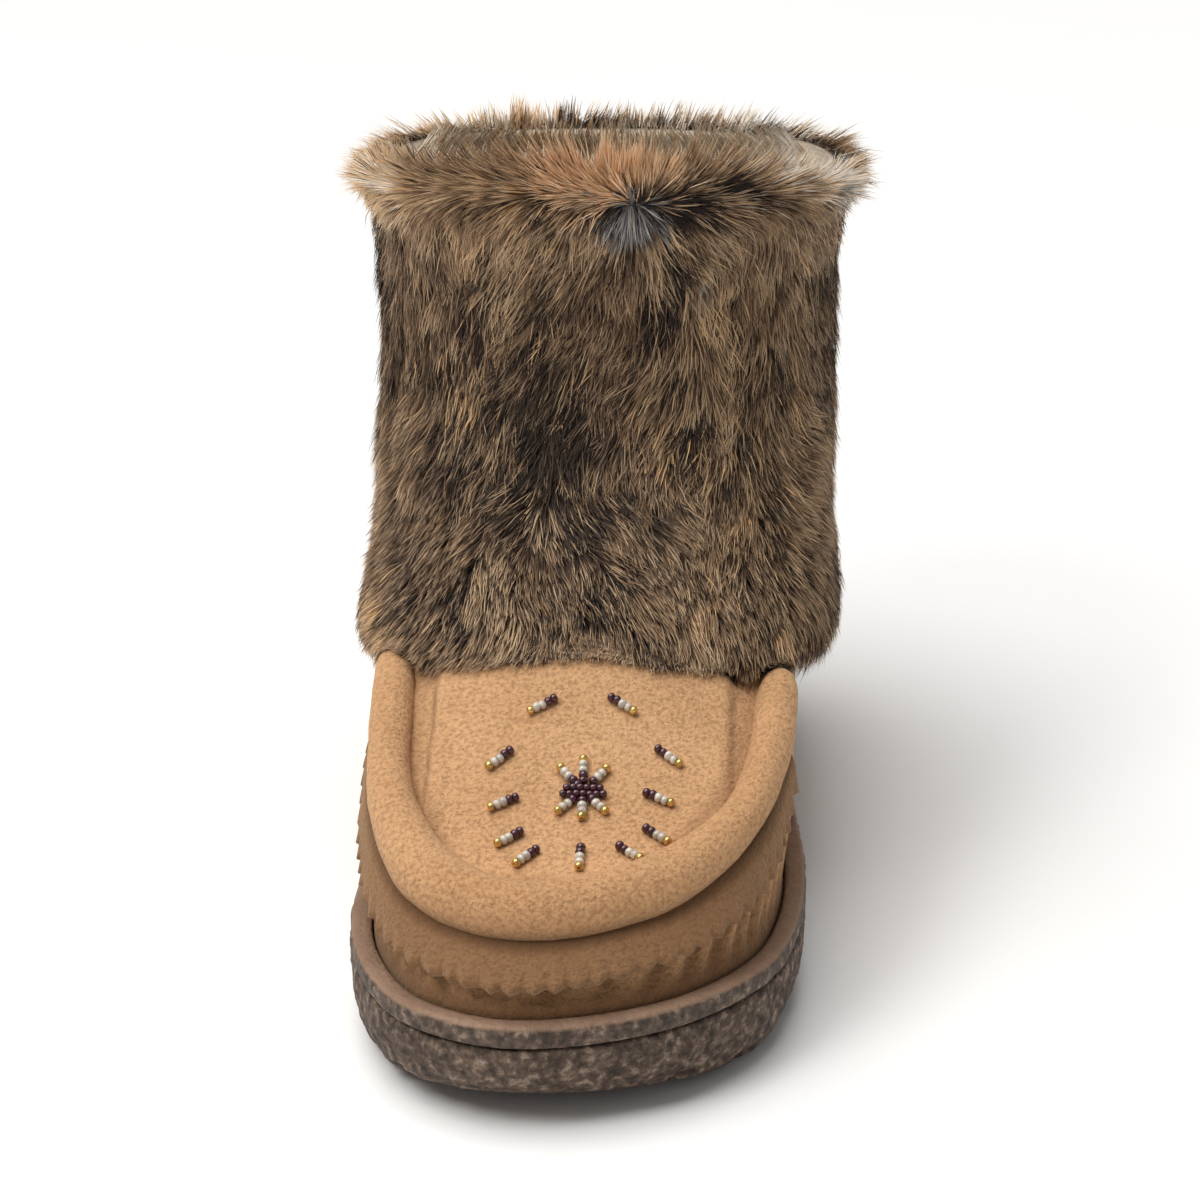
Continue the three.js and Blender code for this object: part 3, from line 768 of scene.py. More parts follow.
def make_plug():
    rows, columns = 120, 96
    t = 0.0015 + (0.215 - 0.0015) * np.linspace(0, 1, rows) ** 1.25
    right = surface(PLUG_EDGE - GAP, t)
    left = surface(PLUG_EDGE - GAP, -t)
    keep = (right[:, 1] < PLUG_BACK) & (left[:, 1] < PLUG_BACK)
    right, left = right[keep], left[keep]
    share = np.linspace(0, 1, columns)[None, :, None]
    flat = mix(left[:, None, :2], right[:, None, :2], share)
    x, y = flat[..., 0], flat[..., 1]
    z = plug_top(x, y) + plug_relief(x, y)
    top = np.stack([x, y, z], axis=-1)
    under = top - (0, 0, PLUG_THICKNESS)
    count = top.shape[0]
    layer = count * columns
    faces = grid_faces(count, columns)
    index = np.arange(layer).reshape(count, columns)
    rim = np.concatenate([index[0, :], index[1:, -1], index[-1, -2::-1], index[-2:0:-1, 0]])
    nxt = np.roll(rim, -1)
    wall = np.stack([rim, rim + layer, nxt + layer, nxt], axis=1)
    points = np.vstack([top.reshape(-1, 3), under.reshape(-1, 3)])
    piece = new_mesh("plug_suede", points, np.vstack([faces, faces[:, ::-1] + layer, wall]))
    # Painted shade along each crease line, in the valley between the crease and the roll, and near the plug's
    # edge beside the roll.
    side = crease_side(x, y)
    line = 0.75 * bump_at(side, CREASE_X + 0.15, 0.5) * (1 - ease(-y, 86, 106))
    valley = 0.3 * ease(side, CREASE_X + 0.3, CREASE_X + 2.5)
    near = 0.5 * (1 - ease(plug_side(x, y), 2.5, 8.0))
    painted_shade_and_ledge = np.clip(np.maximum(np.maximum(line, valley), near), 0, 1)
    set_painted_shade_and_ledge(piece, np.concatenate([painted_shade_and_ledge.ravel(), painted_shade_and_ledge.ravel()]))
    return tidy_mesh(piece)


# ---- rolled rim and pinked trim

ROLL_RADIUS = 7.0
ROLL_THINNING = 2.0  # how much thinner the roll is along the sides than at the toe
ROLL_END = 0.185
ROLL_LIFT = 1.6


def roll_centre(t):
    return surface(SHELF, t) + (0, 0, ROLL_LIFT)


def make_roll():
    steps, sides = 380, 32
    share = np.linspace(-1, 1, steps)
    t = share * ROLL_END
    centre = roll_centre(t)
    along = unit(roll_centre(t + 0.002) - roll_centre(t - 0.002))
    side = unit(np.cross((0, 0, 1.0), along))
    up = np.cross(along, side)
    taper = np.sqrt(1 - 0.75 * np.abs(share) ** 24)
    radius = (ROLL_RADIUS - ROLL_THINNING * ease(np.abs(share), 0.2, 0.6)) * taper
    angle = circle(sides)
    ring = side[:, None] * np.cos(angle)[None, :, None] + up[:, None] * np.sin(angle)[None, :, None]
    rest = centre[:, None] + ring * ROLL_RADIUS
    lumps = 0.28 * noise(rest, 17, 31) + 0.2 * noise(rest, 7, 32) + 0.08 * noise(rest, 3, 33)
    squash = 1 + 0.05 * np.sin(angle)[None, :]
    points = centre[:, None] + ring * (radius[:, None] * squash + lumps)[..., None]
    # The angle runs from the outer side, 0, over the top to the inner side, pi, and on underneath.
    # Painted shade under the roll, across its underside and low on its inner side.
    under = np.maximum(0.85 * bump_at(angle, 1.67 * np.pi, 0.42), 0.55 * bump_at(angle, 1.22 * np.pi, 0.5))
    return sweep("roll_suede", points, np.broadcast_to(under, points.shape[:2]))


TRIM_END = 0.152
TOOTH_PITCH = 4.75
TOOTH_DEPTH = 1.55
TRIM_THICKNESS = 1.3


def make_trim():
    path = surface(BULGE + 0.3, np.linspace(-TRIM_END, TRIM_END, 200))
    length = np.linalg.norm(np.diff(path, axis=0), axis=1).sum()
    teeth = int(round(length / TOOTH_PITCH))
    columns = teeth * 10 + 1
    share = np.linspace(-1, 1, columns)
    t = share * TRIM_END
    drop = 1.4 + 1.25 * np.abs(share) ** 1.3
    stand = mix(3.9, 1.2, np.abs(share))
    phase = (share + 1) / 2 * teeth + 0.22 * noise(plan(share * 30, 0 * share), 1.7, 41)
    tooth = 1 - 2 * np.abs(2 * (phase - np.floor(phase)) - 1)
    ragged = 1 + 0.3 * noise(np.stack([share * 60, 0 * share, 0 * share + 3], -1), 2.3, 42)
    top = surface(UNDER_ROLL + 0.45, t) + outward(UNDER_ROLL + 0.45, t) * 0.9
    foot = surface(drop, t) + outward(drop, t) * stand[:, None]
    hang = unit(foot - top)
    foot = foot + hang * (tooth * ragged * TOOTH_DEPTH / 2)[:, None]
    along = unit(surface(BULGE, t + NEAR) - surface(BULGE, t - NEAR))
    face = unit(np.cross(hang, along))
    face = np.where((face * outward(BULGE, t)).sum(-1, keepdims=True) < 0, -face, face)
    down = np.linspace(0, 1, 8)[None, :, None]
    sheet = mix(top[:, None], foot[:, None], down)
    belly = 0.7 * np.sin(np.pi * down[..., 0])
    depth = down[..., 0]
    wave = noise(plan(*np.broadcast_arrays(t[:, None] * 640, depth * 9)), 10, 43)
    curl = 0.35 * ease(depth, 0.7, 1.0) * tooth[:, None]
    sheet = sheet + face[:, None] * (belly + 0.55 * wave * depth + curl)[..., None]
    outer = sheet + face[:, None] * TRIM_THICKNESS / 2
    inner = sheet - face[:, None] * TRIM_THICKNESS / 2
    sections = np.concatenate([outer, inner[:, ::-1]], axis=1)
    # Painted shade over the whole pinked trim, which hangs under the roll, and darker still along its top
    # next to the roll.
    near_roll = np.concatenate([depth[0], depth[0, ::-1]])
    painted_shade_and_ledge = np.minimum(1.0, 0.4 * (1 - ease(near_roll, 0.14, 0.42)) + 0.72)
    return sweep("pinked_trim_suede", sections, np.broadcast_to(painted_shade_and_ledge, sections.shape[:2]))


# ---- beadwork

BEAD_RADIUS = 1.12
BEAD_LENGTH = 1.52
BARS = [  # x, y, heading in degrees from +X towards the collar; the maroon end comes first
    (-9.1, -64.0, -150), (-18.0, -76.6, -138), (-16.4, -87.9, -150), (-14.4, -97.3, -140),
    (-10.2, -102.8, -132), (1.7, -102.8, -91), (12.6, -100.8, -40), (18.4, -95.5, -36),
    (18.4, -85.8, -24), (20.2, -74.9, -35), (9.2, -63.4, -31),
]
BAR_COLOURS = ["maroon", "maroon", "pearl", "pearl", "gold"]
STAR = (1.4, -84.8)
RAYS = [(92, 9.6), (131, 9.0), (52, 8.8), (227, 8.6), (270, 8.0), (313, 8.4)]  # heading, reach
RAY_COLOURS = ["pearl", "pearl", "gold"]  # outwards from the star's maroon middle
LONG_RAY = 8.9  # rays that reach further than this have one bead more
STAR_ROWS = [(-0.85, 7), (0.85, 6)]  # distance from the middle, beads


def on_plug(x, y):
    """The point, and the across, along and outward directions, of the plug's skin at a place in plan."""
    step = 0.6

    def height(*spot):
        spot = [np.array([c]) for c in spot]
        return (plug_top(*spot) + plug_relief(*spot))[0]

    across = unit(np.array([2 * step, 0, height(x + step, y) - height(x - step, y)]))
    along = unit(np.array([0, 2 * step, height(x, y + step) - height(x, y - step)]))
    return np.array([x, y, height(x, y)]), across, along, unit(np.cross(across, along))


def bead_template():
    """A seed bead about its own axis, as rings of (along, radius): a short round tube with a hole."""
    half = BEAD_LENGTH / 2
    rings = [
        (-half, 0.35), (-half, 0.62), (-half * 0.86, 0.88), (-half * 0.45, 1.06), (0, 1.12),
        (half * 0.45, 1.06), (half * 0.86, 0.88), (half, 0.62), (half, 0.35), (half * 0.5, 0.3),
        (-half * 0.5, 0.3),
    ]
    angle = circle(12)
    return np.array([[(a, r * math.cos(g), r * math.sin(g)) for g in angle] for a, r in rings])


def make_beads():
    template = bead_template()
    rings, sides, _ = template.shape
    faces = grid_faces(rings, sides, True, True)
    placed = {colour: [] for colour in ("maroon", "pearl", "gold")}
    rng = np.random.default_rng(17)

    def add(colour, x, y, heading, rise=0.0, scale=1.0):
        at, across, along, normal = on_plug(x, y)
        wobble = math.radians(heading + rng.uniform(-7, 7))
        axis = unit(across * math.cos(wobble) + along * math.sin(wobble) + normal * rng.uniform(-0.08, 0.08))
        side = unit(np.cross(normal, axis))
        up = np.cross(axis, side)
        size = rng.uniform(0.93, 1.06)
        local = template * size * (1, scale, scale)
        centre = at + normal * (BEAD_RADIUS * size * scale * 0.92 + rise) + side * rng.uniform(-0.1, 0.1)
        placed[colour].append(centre + local[..., :1] * axis + local[..., 1:2] * side + local[..., 2:] * up)

    for x, y, heading in BARS:
        angle = math.radians(heading)
        _, across, along, _ = on_plug(x, y)
        step = (across * math.cos(angle) + along * math.sin(angle))[:2] * BEAD_LENGTH
        for i, colour in enumerate(BAR_COLOURS):
            offset = i - (len(BAR_COLOURS) - 1) / 2
            add(colour, x + step[0] * offset, y + step[1] * offset, heading)
    _, across, along, _ = on_plug(*STAR)
    for row, count in STAR_ROWS:
        for i in range(count):
            reach = (i - (count - 1) / 2) * BEAD_LENGTH
            place = np.array(STAR) + (across * reach + along * row)[:2]
            add("maroon", place[0], place[1], 0, 0.3, 0.78)
    for heading, reach in RAYS:
        angle = math.radians(heading)
        way = across * math.cos(angle) + along * math.sin(angle)
        maroon = 2 if reach > LONG_RAY else 1
        for i, colour in enumerate(["maroon"] * maroon + RAY_COLOURS):
            distance = reach - BEAD_LENGTH * (maroon + 2.5 - i)
            place = np.array(STAR) + way[:2] * distance
            add(colour, place[0], place[1], heading, 0.1 if colour != "maroon" else 0.0)

    pieces = {}
    for colour, beads in placed.items():
        points = np.array(beads).reshape(-1, 3)
        offsets = (np.arange(len(beads)) * rings * sides)[:, None, None]
        all_faces = (faces[None] + offsets).reshape(-1, 4)
        pieces[colour] = tidy_mesh(new_mesh("beads_" + colour, points, all_faces))
    return pieces


# ---- the shaft's shape

SHAFT_OUTSIDE = [  # front, back, half width, squareness, height at the front, the side and the back
    (-56, 133, 63, 3.1, 66, 58, 54),
    (-57, 136, 66.5, 3.1, 76, 65, 61),
    (-48, 136, 66, 3.0, 88, 77, 73),
    (-27, 134.5, 63.5, 2.7, 104, 94, 90),
    (-13, 133.5, 62.5, 2.5, 122, 115, 112),
    (-9, 133, 62.5, 2.4, 146, 142, 139),
    (-10, 133.5, 64.5, 2.4, 160, 155, 149.5),
    (-13, 136, 68, 2.4, 172, 165, 158.5),
    (-10, 133.5, 66, 2.4, 180.5, 172, 165),
    (-3, 127, 59.5, 2.4, 184.5, 176, 169),
]
SHAFT_INSIDE = [
    (-24, 119, 44, 2.6, 62, 56, 52),
    (-44, 122, 49.5, 2.7, 84, 73, 71),
    (-22, 121, 50.5, 2.5, 98, 88, 84),
    (0, 120.5, 50.5, 2.4, 119, 112, 108),
    (5, 120, 50.5, 2.4, 146, 141, 136),
    (5, 119.5, 50.5, 2.4, 176, 167.5, 160),
]
RIM = len(SHAFT_OUTSIDE) - 1


def shaft_rings(rows, angle):
    forward, sideways = np.cos(angle), np.sin(angle)
    rings = []
    for front, back, half, square, z_front, z_side, z_back in rows:
        power = 2 / square
        y = (front + back) / 2 - (back - front) / 2 * np.sign(forward) * np.abs(forward) ** power
        x = half * np.sign(sideways) * np.abs(sideways) ** power
        z = mix(z_side, np.where(forward > 0, z_front, z_back), np.abs(forward) ** 1.5)
        rings.append(np.stack([x, y, z], axis=-1))
    return np.stack(rings)


def shaft_surface(rows, s, angle):
    """The shaft's surface at height s, counted in rings, and angle from the front."""
    s, angle = np.broadcast_arrays(np.asarray(s, float), np.asarray(angle, float))
    return between(shaft_rings(rows, angle), s)


def shaft_frame(rows, s, angle):
    """The point on the surface, and its rightward, upward and outward directions."""
    last = len(rows) - 1
    point = shaft_surface(rows, s, angle)
    above, below = np.minimum(last, s + 0.08), np.maximum(0, s - 0.08)
    up = shaft_surface(rows, above, angle) - shaft_surface(rows, below, angle)
    right = unit(shaft_surface(rows, s, angle + 0.02) - shaft_surface(rows, s, angle - 0.02))
    away = unit(np.cross(right, up))
    return point, right, unit(np.cross(away, right)), away


SKIN_DEPTH = 7.0  # the fur's roots lie this far under the shaft's outside
TURNED_IN = 4  # rings at the top of the hide's outside that the fleece covers too


def tuck(s, angle):
    """How much further in the skin lies at the sides, where the hem and the cuff would bulge."""
    height = shaft_surface(SHAFT_OUTSIDE, s, 0.0)[..., 2]
    return np.sin(angle) ** 2 * (3.2 * bump_at(height, 92, 15) + 3.0 * ease(height, 158, 174))


def make_hide(hide, fleece):
    """The skin under the fur, turned in at the top, with a fleece lining."""
    count = 144
    angle = circle(count)
    outer_s = np.linspace(0.35, RIM - 0.9, 36)
    inner_s = np.linspace(5, 0.2, 24)
    rows = []
    for s in outer_s:
        point, _, _, away = shaft_frame(SHAFT_OUTSIDE, np.full(count, s), angle)
        rows.append(point - away * (SKIN_DEPTH * mix(0.72, 1.0, ease(s, 0, 1.5)) + tuck(s, angle))[:, None])
    for s in inner_s:
        point, _, _, away = shaft_frame(SHAFT_INSIDE, np.full(count, s), angle)
        # The wall is thin over the instep, so the lining draws in there.
        instep = ease(np.cos(angle), 0.3, 0.9) * (1 - ease(s, 2.6, 3.6))
        rows.append(point - away * (6.5 * instep)[:, None])
    points = np.array(rows)
    points[len(outer_s):] += 0.5 * noise(points[len(outer_s):], 6, 51)[..., None] * (1, 1, 0)
    piece = new_mesh("shaft_hide", points.reshape(-1, 3), grid_faces(len(points), count, True, True))
    two_materials(piece, len(points), count, len(outer_s) - TURNED_IN, hide, fleece)
    return piece


# ---- fur

PIGMENT_NAMES = list(PIGMENTS)
PIGMENT_PLACES = np.array([row[0] for row in PIGMENTS.values()])


def weights(**shares):
    """The share of each pigment, in the palette's order."""
    return np.array([shares.get(name, 0.0) for name in PIGMENT_NAMES])


EVERYWHERE = weights(BLACK=0.09, DARK=0.17, AGOUTI=0.37, BROWN=0.15, TAN=0.14, LIGHT=0.08)
# Where the fur is clumped light or dark, how strongly each pigment follows.
LEANINGS = {"BLACK": -1.3, "DARK": -0.7, "TAN": 1.3, "LIGHT": 1.6}
# Pigments of the fur inside the opening, from left to right: pale as the real lining is, and paler still as
# painted light against the shade inside the opening.
INNER_LEFT = weights(GOLDEN=0.12, CREAM=0.6, LIGHT=0.28)
INNER_RIGHT = weights(CREAM=1.0)
# Patches of colour: place round the front (to the right), height, half width, half height,
# strength, pigments.
PATCHES = [
    (3.5, 184, 8, 7, 60.0, weights(ORANGE=0.75, GOLDEN=0.15, LIGHT=0.1)),
    (6.8, 168.5, 3.2, 3.2, 40.0, weights(GREY=0.55, BLACK=0.25, DARK=0.2)),
    (-72, 180, 16, 9, 12.0, weights(GOLDEN=0.45, CREAM=0.15, LIGHT=0.4)),
    (-30, 176, 15, 9, 5.0, weights(BROWN=0.4, AGOUTI=0.1, TAN=0.3, GOLDEN=0.2)),
    (-10, 163, 15, 4.5, 5.0, weights(LIGHT=0.5, TAN=0.4, ORANGE=0.1)),
    (6, 151, 7, 10, 2.0, weights(BROWN=0.6, AGOUTI=0.3, TAN=0.1)),
    (17.4, 150, 3.2, 9, 5.0, weights(BLACK=0.9, DARK=0.1)),
    (28, 182, 15, 4, 5.0, weights(LIGHT=0.4, TAN=0.4, BROWN=0.2)),
    (17, 171, 8, 2.2, 5.0, weights(BLACK=0.8, DARK=0.2)),
    (31, 175.5, 8, 2.0, 5.0, weights(BLACK=0.8, DARK=0.2)),
    (64, 185, 14, 6.5, 40.0, weights(CREAM=0.75, LIGHT=0.2, GREY=0.05)),
    (48, 166, 17, 12, 4.0, weights(BROWN=0.3, AGOUTI=0.2, TAN=0.35, LIGHT=0.15)),
    (26, 164, 3, 10, 3.0, weights(TAN=0.4, LIGHT=0.35, GREY=0.25)),
    (-8, 115, 13, 13, 1.6, weights(BLACK=0.5, DARK=0.5)),
    (44, 112, 20, 28, 2.2, weights(GOLDEN=0.2, AGOUTI=0.25, TAN=0.35, LIGHT=0.2)),
    (-60, 76, 22, 9, 3.0, weights(GOLDEN=0.45, TAN=0.35, AGOUTI=0.2)),
    (-21, 152, 6, 4, 3.0, weights(LIGHT=0.6, TAN=0.4)),
    (-34, 138, 18, 14, 1.2, weights(DARK=0.3, AGOUTI=0.4, GOLDEN=0.3)),
    (-45, 98, 18, 20, 1.2, weights(AGOUTI=0.5, BROWN=0.2, TAN=0.3)),
    (2, 84, 46, 17, 2.4, weights(BLACK=0.1, AGOUTI=0.45, TAN=0.15, LIGHT=0.3)),
    (-26, 126, 22, 20, 1.3, weights(BLACK=0.3, DARK=0.4, BROWN=0.3)),
    (44, 142, 17, 18, 1.8, weights(TAN=0.5, GOLDEN=0.2, LIGHT=0.3)),
    (150, 184, 60, 8, 12.0, weights(CREAM=0.45, LIGHT=0.35, TAN=0.2)),
    (-150, 184, 60, 8, 12.0, weights(GOLDEN=0.4, CREAM=0.2, LIGHT=0.4)),
]
WHORLS = [  # place round the front, height, reach, strength
    (6.3, 172, 30, 2.3),
    (-9.9, 105.7, 13, 0.8),
    (-88, 128, 20, 0.9),
    (104, 118, 22, 0.9),
    (190, 140, 24, 0.9),
]
CUFF_HEIGHT = 166.0  # above this the fur flares
CURL = 0.45  # how much the fur turns round a whorl as it leaves it


def cell_centre(u, v, size, seed):
    """Offset from each point to the middle of its nearest jittered cell, and the cell's own number."""
    iu, iv = np.floor(u / size), np.floor(v / size)
    best = np.full(u.shape, np.inf)
    du, dv = np.zeros_like(u), np.zeros_like(u)
    cell = np.zeros((*u.shape, 3))
    for i in (-1, 0, 1):
        for j in (-1, 0, 1):
            key = np.stack([iu + i, iv + j, np.zeros_like(iu)], axis=-1)
            cu = (iu + i + 0.5 + 0.42 * lattice(key, seed)) * size - u
            cv = (iv + j + 0.5 + 0.42 * lattice(key, seed + 1)) * size - v
            distance = cu * cu + cv * cv
            nearer = distance < best
            best = np.where(nearer, distance, best)
            du, dv = np.where(nearer, cu, du), np.where(nearer, cv, dv)
            cell = np.where(nearer[..., None], key, cell)
    return du, dv, cell


def turned(right, up, angle):
    """A direction on the skin, turned anticlockwise by an angle."""
    return right * np.cos(angle) - up * np.sin(angle), right * np.sin(angle) + up * np.cos(angle)


def fur_direction(place, height):
    """The way the fur lies, as shares to the right and up."""
    right = 0.55 * np.clip(place / 60, -1, 1) * ease(height, 70, 100)
    right = np.where(np.abs(place) > 90, 0.0, right)
    swirl = plan(place, height)
    angle = 0.75 * noise(swirl, 34, 61) + 0.4 * noise(swirl, 15, 62)
    up = -np.ones_like(place)
    cuff = ease(height, CUFF_HEIGHT, CUFF_HEIGHT + 18) * (1 - ease(np.abs(place), 60, 115))
    up = mix(up, 0.6, cuff)
    right = right + cuff * 0.9 * np.tanh(place / 45)
    right, up = turned(right, up, angle)
    for at, level, reach, strength in WHORLS:
        du = place - at + 3.2 * noise(swirl, 7, 63) + 1.6 * noise(swirl, 2.5, 64)
        dv = height - level + 3.2 * noise(swirl, 7, 65) + 1.6 * noise(swirl, 2.5, 66)
        distance = np.hypot(du, dv) + 0.5
        pull = strength * np.exp(-((distance / reach) ** 2)) * distance / (distance + 2.5)
        right = right + pull * (du - CURL * dv) / distance
        up = up + pull * (dv + CURL * du) / distance
    length = np.hypot(right, up) + 1e-6
    return right / length, up / length


def pick_pigment(place, height, dice, inside):
    """Each strand's pigment, counted in the palette, by the patch it grows in and a throw of the dice."""
    where = plan(place, height)
    tone = noise(where, 22, 71) + 0.6 * noise(where, 9, 72)
    chances = np.tile(EVERYWHERE, (len(place), 1))
    for name, leaning in LEANINGS.items():
        chances[:, PIGMENT_NAMES.index(name)] *= np.exp(leaning * tone)
    for at, level, wide, tall, strength, pigments in PATCHES:
        share = strength * np.exp(-(((place - at) / wide) ** 2) - ((height - level) / tall) ** 2)
        chances += share[:, None] * pigments
    if inside:
        right = ease(place, -30, 40)[:, None]
        chances = mix(INNER_LEFT, INNER_RIGHT, right)
    ladder = np.cumsum(chances, axis=1)
    ladder /= ladder[:, -1:]
    return (dice[:, None] > ladder).sum(axis=1)


def roots_by_area(rng, rows, count, low, high):
    """Places spread evenly over the shaft between two heights: ring number and angle."""
    s_grid = np.linspace(low, high, 80)
    a_grid = np.linspace(-np.pi, np.pi, 241)
    points = shaft_surface(rows, s_grid[:, None], a_grid[None, :])
    down = points[1:, :-1] - points[:-1, :-1]
    across = points[:-1, 1:] - points[:-1, :-1]
    area = np.linalg.norm(np.cross(down, across), axis=-1).ravel()
    total = np.cumsum(area)
    want = (np.arange(count) + rng.random(count)) / count * total[-1]
    cell = np.minimum(np.searchsorted(total, want), len(area) - 1)
    i, j = np.divmod(cell, len(a_grid) - 1)
    s = s_grid[i] + rng.random(count) * (s_grid[1] - s_grid[0])
    angle = a_grid[j] + rng.random(count) * (a_grid[1] - a_grid[0])
    return s, angle


def unrolled(rows, angle):
    """How far round the shaft a place lies, in millimetres to the right of the front's middle."""
    a_grid = np.linspace(0, np.pi, 200)
    line = shaft_surface(rows, 5.0, a_grid)[:, :2]
    length = np.concatenate([[0], np.cumsum(np.linalg.norm(np.diff(line, axis=0), axis=1))])
    return np.sign(angle) * np.interp(np.abs(angle), a_grid, length)


MACRO_CLUMP = 6.2  # across, in millimetres
MICRO_CLUMP = 1.45
STRAIGHT = (0.0, 1.0)  # places along a strand, from root to tip, that have points
BENT = (0.0, 0.52, 1.0)
COATS = [  # rings, strands, lowest and highest ring, depths of the roots, length, width, rise at root and tip
    (SHAFT_OUTSIDE, 290000, 0.4, RIM - 0.6, (SKIN_DEPTH, SKIN_DEPTH), 9.0, 0.34, 30, 4, STRAIGHT),
    (SHAFT_OUTSIDE, 95000, 0.45, RIM - 0.6, (5.5, 6.5), 10.0, 0.27, 28, 4, BENT),
    (SHAFT_OUTSIDE, 20000, RIM - 1.6, RIM - 0.4, (6.0, 16.0), 13.5, 0.28, 42, 36, BENT),
    (SHAFT_INSIDE, 22000, 2.9, 5.0, (0.2, 0.4), 10.0, 0.32, 50, 30, BENT),
]
CLUMP_SHARE = 0.8  # of the strands that take their clump's pigment
BLEED = 0.035  # how far a strand's pigment strays towards its neighbours in the palette


def low_down(height):
    """1 over the instep and the heel, 0 above the ankle."""
    return 1 - ease(height, 92, 114)


def in_first_whorl(place, height):
    at, level = WHORLS[0][:2]
    return bump_at(np.hypot(place - at, height - level), 0, 13)


def strand_lengths(rng, length, place, height, clumps, inside):
    """Uneven from clump to clump, longer at the hem, shorter round the rim and in the first whorl."""
    macro, micro = clumps
    rim = (0.46 * bump_at(place, 0, 48) - 0.3) * ease(height, 172, 184)
    hem = (1 - ease(height, 62, 82)) * (0.75 * bump_at(np.abs(place), 60, 16) - 0.1)
    uneven = (0.16 * lattice(macro, 84) + 0.14 * lattice(micro, 94)) * (0.35 if inside else 1.0)
    long = length * (1 + uneven) * rng.uniform(0.8, 1.1, len(place))
    long = long * (1 - 0.26 * low_down(height)) * (1 + rim) * (1 + hem)
    return long * (1 - 0.3 * in_first_whorl(place, height))


def strand_pigments(rng, place, height, clumps, inside):
    """Places across the palette: mostly the clump's pigment, sometimes the strand's own."""
    macro, micro = clumps
    own = rng.random(len(place))
    share = rng.random(len(place))
    clump = np.where(share < 0.38, lattice(macro, 87), lattice(micro, 97)) / 2 + 0.5
    pigment = pick_pigment(place, height, np.where(share < CLUMP_SHARE, clump, own), inside)
    return np.clip(PIGMENT_PLACES[pigment] + rng.uniform(-BLEED, BLEED, len(place)), 0.002, 0.997)


def strand_paths(root, long, leave, arrive, drawn, wiggle, v):
    """Points of strands that leave one way, arrive another, and are drawn towards their clump's middle."""
    bend = leave[:, None] * v[:, None] + (arrive - leave)[:, None] * (v ** 2)[:, None] / 2
    path = root[:, None] + long[:, None, None] * bend
    return path + drawn[:, None] * (v ** 1.4)[:, None] + wiggle[:, None] * (v * (1 - 0.4 * v))[:, None]


def grow(rng, rows, count, low, high, depths, length, width, rise, settle, steps):
    """A coat of fur: its strands' points from root to tip, outward directions, widths and palette places."""
    inside = rows is SHAFT_INSIDE
    s, angle = roots_by_area(rng, rows, count, low, high)
    point, right, up, away = shaft_frame(rows, s, angle)
    if inside:
        away = -away
    place = unrolled(rows, angle)
    # Rings fall towards the back, so patches are placed by the height that the same ring has at the front.
    height = shaft_surface(rows, s, 0.0)[:, 2]
    deep = rng.uniform(*depths, count) + (0 if inside else tuck(s, angle))
    root = point - away * deep[:, None]

    macro_u, macro_v, macro = cell_centre(place, height, MACRO_CLUMP, 81)
    micro_u, micro_v, micro = cell_centre(place, height, MICRO_CLUMP, 91)
    turn = math.radians(20) * lattice(macro, 83) + math.radians(13) * lattice(micro, 93)
    turn = (turn + math.radians(8) * rng.standard_normal(count)) * (1 - 0.45 * low_down(height))
    go_right, go_up = fur_direction(place, height)
    if inside:
        go_right, go_up = 0.25 * go_right, np.ones(count)
    go_right, go_up = turned(go_right, go_up, turn)
    flat = unit(right * go_right[:, None] + up * go_up[:, None])

    long = strand_lengths(rng, length, place, height, (macro, micro), inside)
    flare = ease(height, CUFF_HEIGHT - 10, CUFF_HEIGHT + 16) * (1 - 0.75 * np.sin(angle) ** 2) * (not inside)
    first = rise + 8 * lattice(macro, 85) + 5 * rng.standard_normal(count) + 24 * flare
    last = settle + 5 * lattice(macro, 86) + 4 * rng.standard_normal(count) + 28 * flare
    first, last = np.radians(np.clip(first, 8, 85)), np.radians(np.clip(last, -6, 70))
    leave = flat * np.cos(first)[:, None] + away * np.sin(first)[:, None]
    arrive = flat * np.cos(last)[:, None] + away * np.sin(last)[:, None]
    drawn = right * (micro_u * 0.5 + macro_u * 0.2)[:, None] + up * (micro_v * 0.5 + macro_v * 0.2)[:, None]
    drawn = drawn * (1 - 0.8 * np.maximum(in_first_whorl(place, height), float(inside)))[:, None]
    wiggle = rng.standard_normal((count, 3)) * 0.35
    v = np.array(steps)
    path = strand_paths(root, long, leave, arrive, drawn, wiggle, v)
    u = strand_pigments(rng, place, height, (macro, micro), inside)
    wide = width * rng.uniform(0.8, 1.25, count)
    return {"path": path, "away": away, "wide": wide, "u": u, "angle": angle, "steps": v}


MAP_CORNER = np.array([-75.0, -140.0])
MAP_SIZE = np.array([150, 160])
HEM_BACK = -8.0  # fur behind this can't meet the plug or the roll


def foot_map(*pieces):
    """Highest point of the pieces over each square millimetre of the plan."""
    heights = np.zeros(MAP_SIZE)
    for piece in pieces:
        co = np.empty(len(piece.data.vertices) * 3, np.float32)
        piece.data.vertices.foreach_get("co", co)
        co = co.reshape(-1, 3) / MM - (0, SHIFT_Y, 0)
        index = np.floor(co[:, :2] - MAP_CORNER).astype(int)
        good = ((index >= 0) & (index < MAP_SIZE)).all(1)
        for shift in ((0, 0), (1, 0), (0, 1), (-1, 0), (0, -1)):
            spot = np.clip(index[good] + shift, 0, MAP_SIZE - 1)
            np.maximum.at(heights, (spot[:, 0], spot[:, 1]), co[good, 2])
    return heights


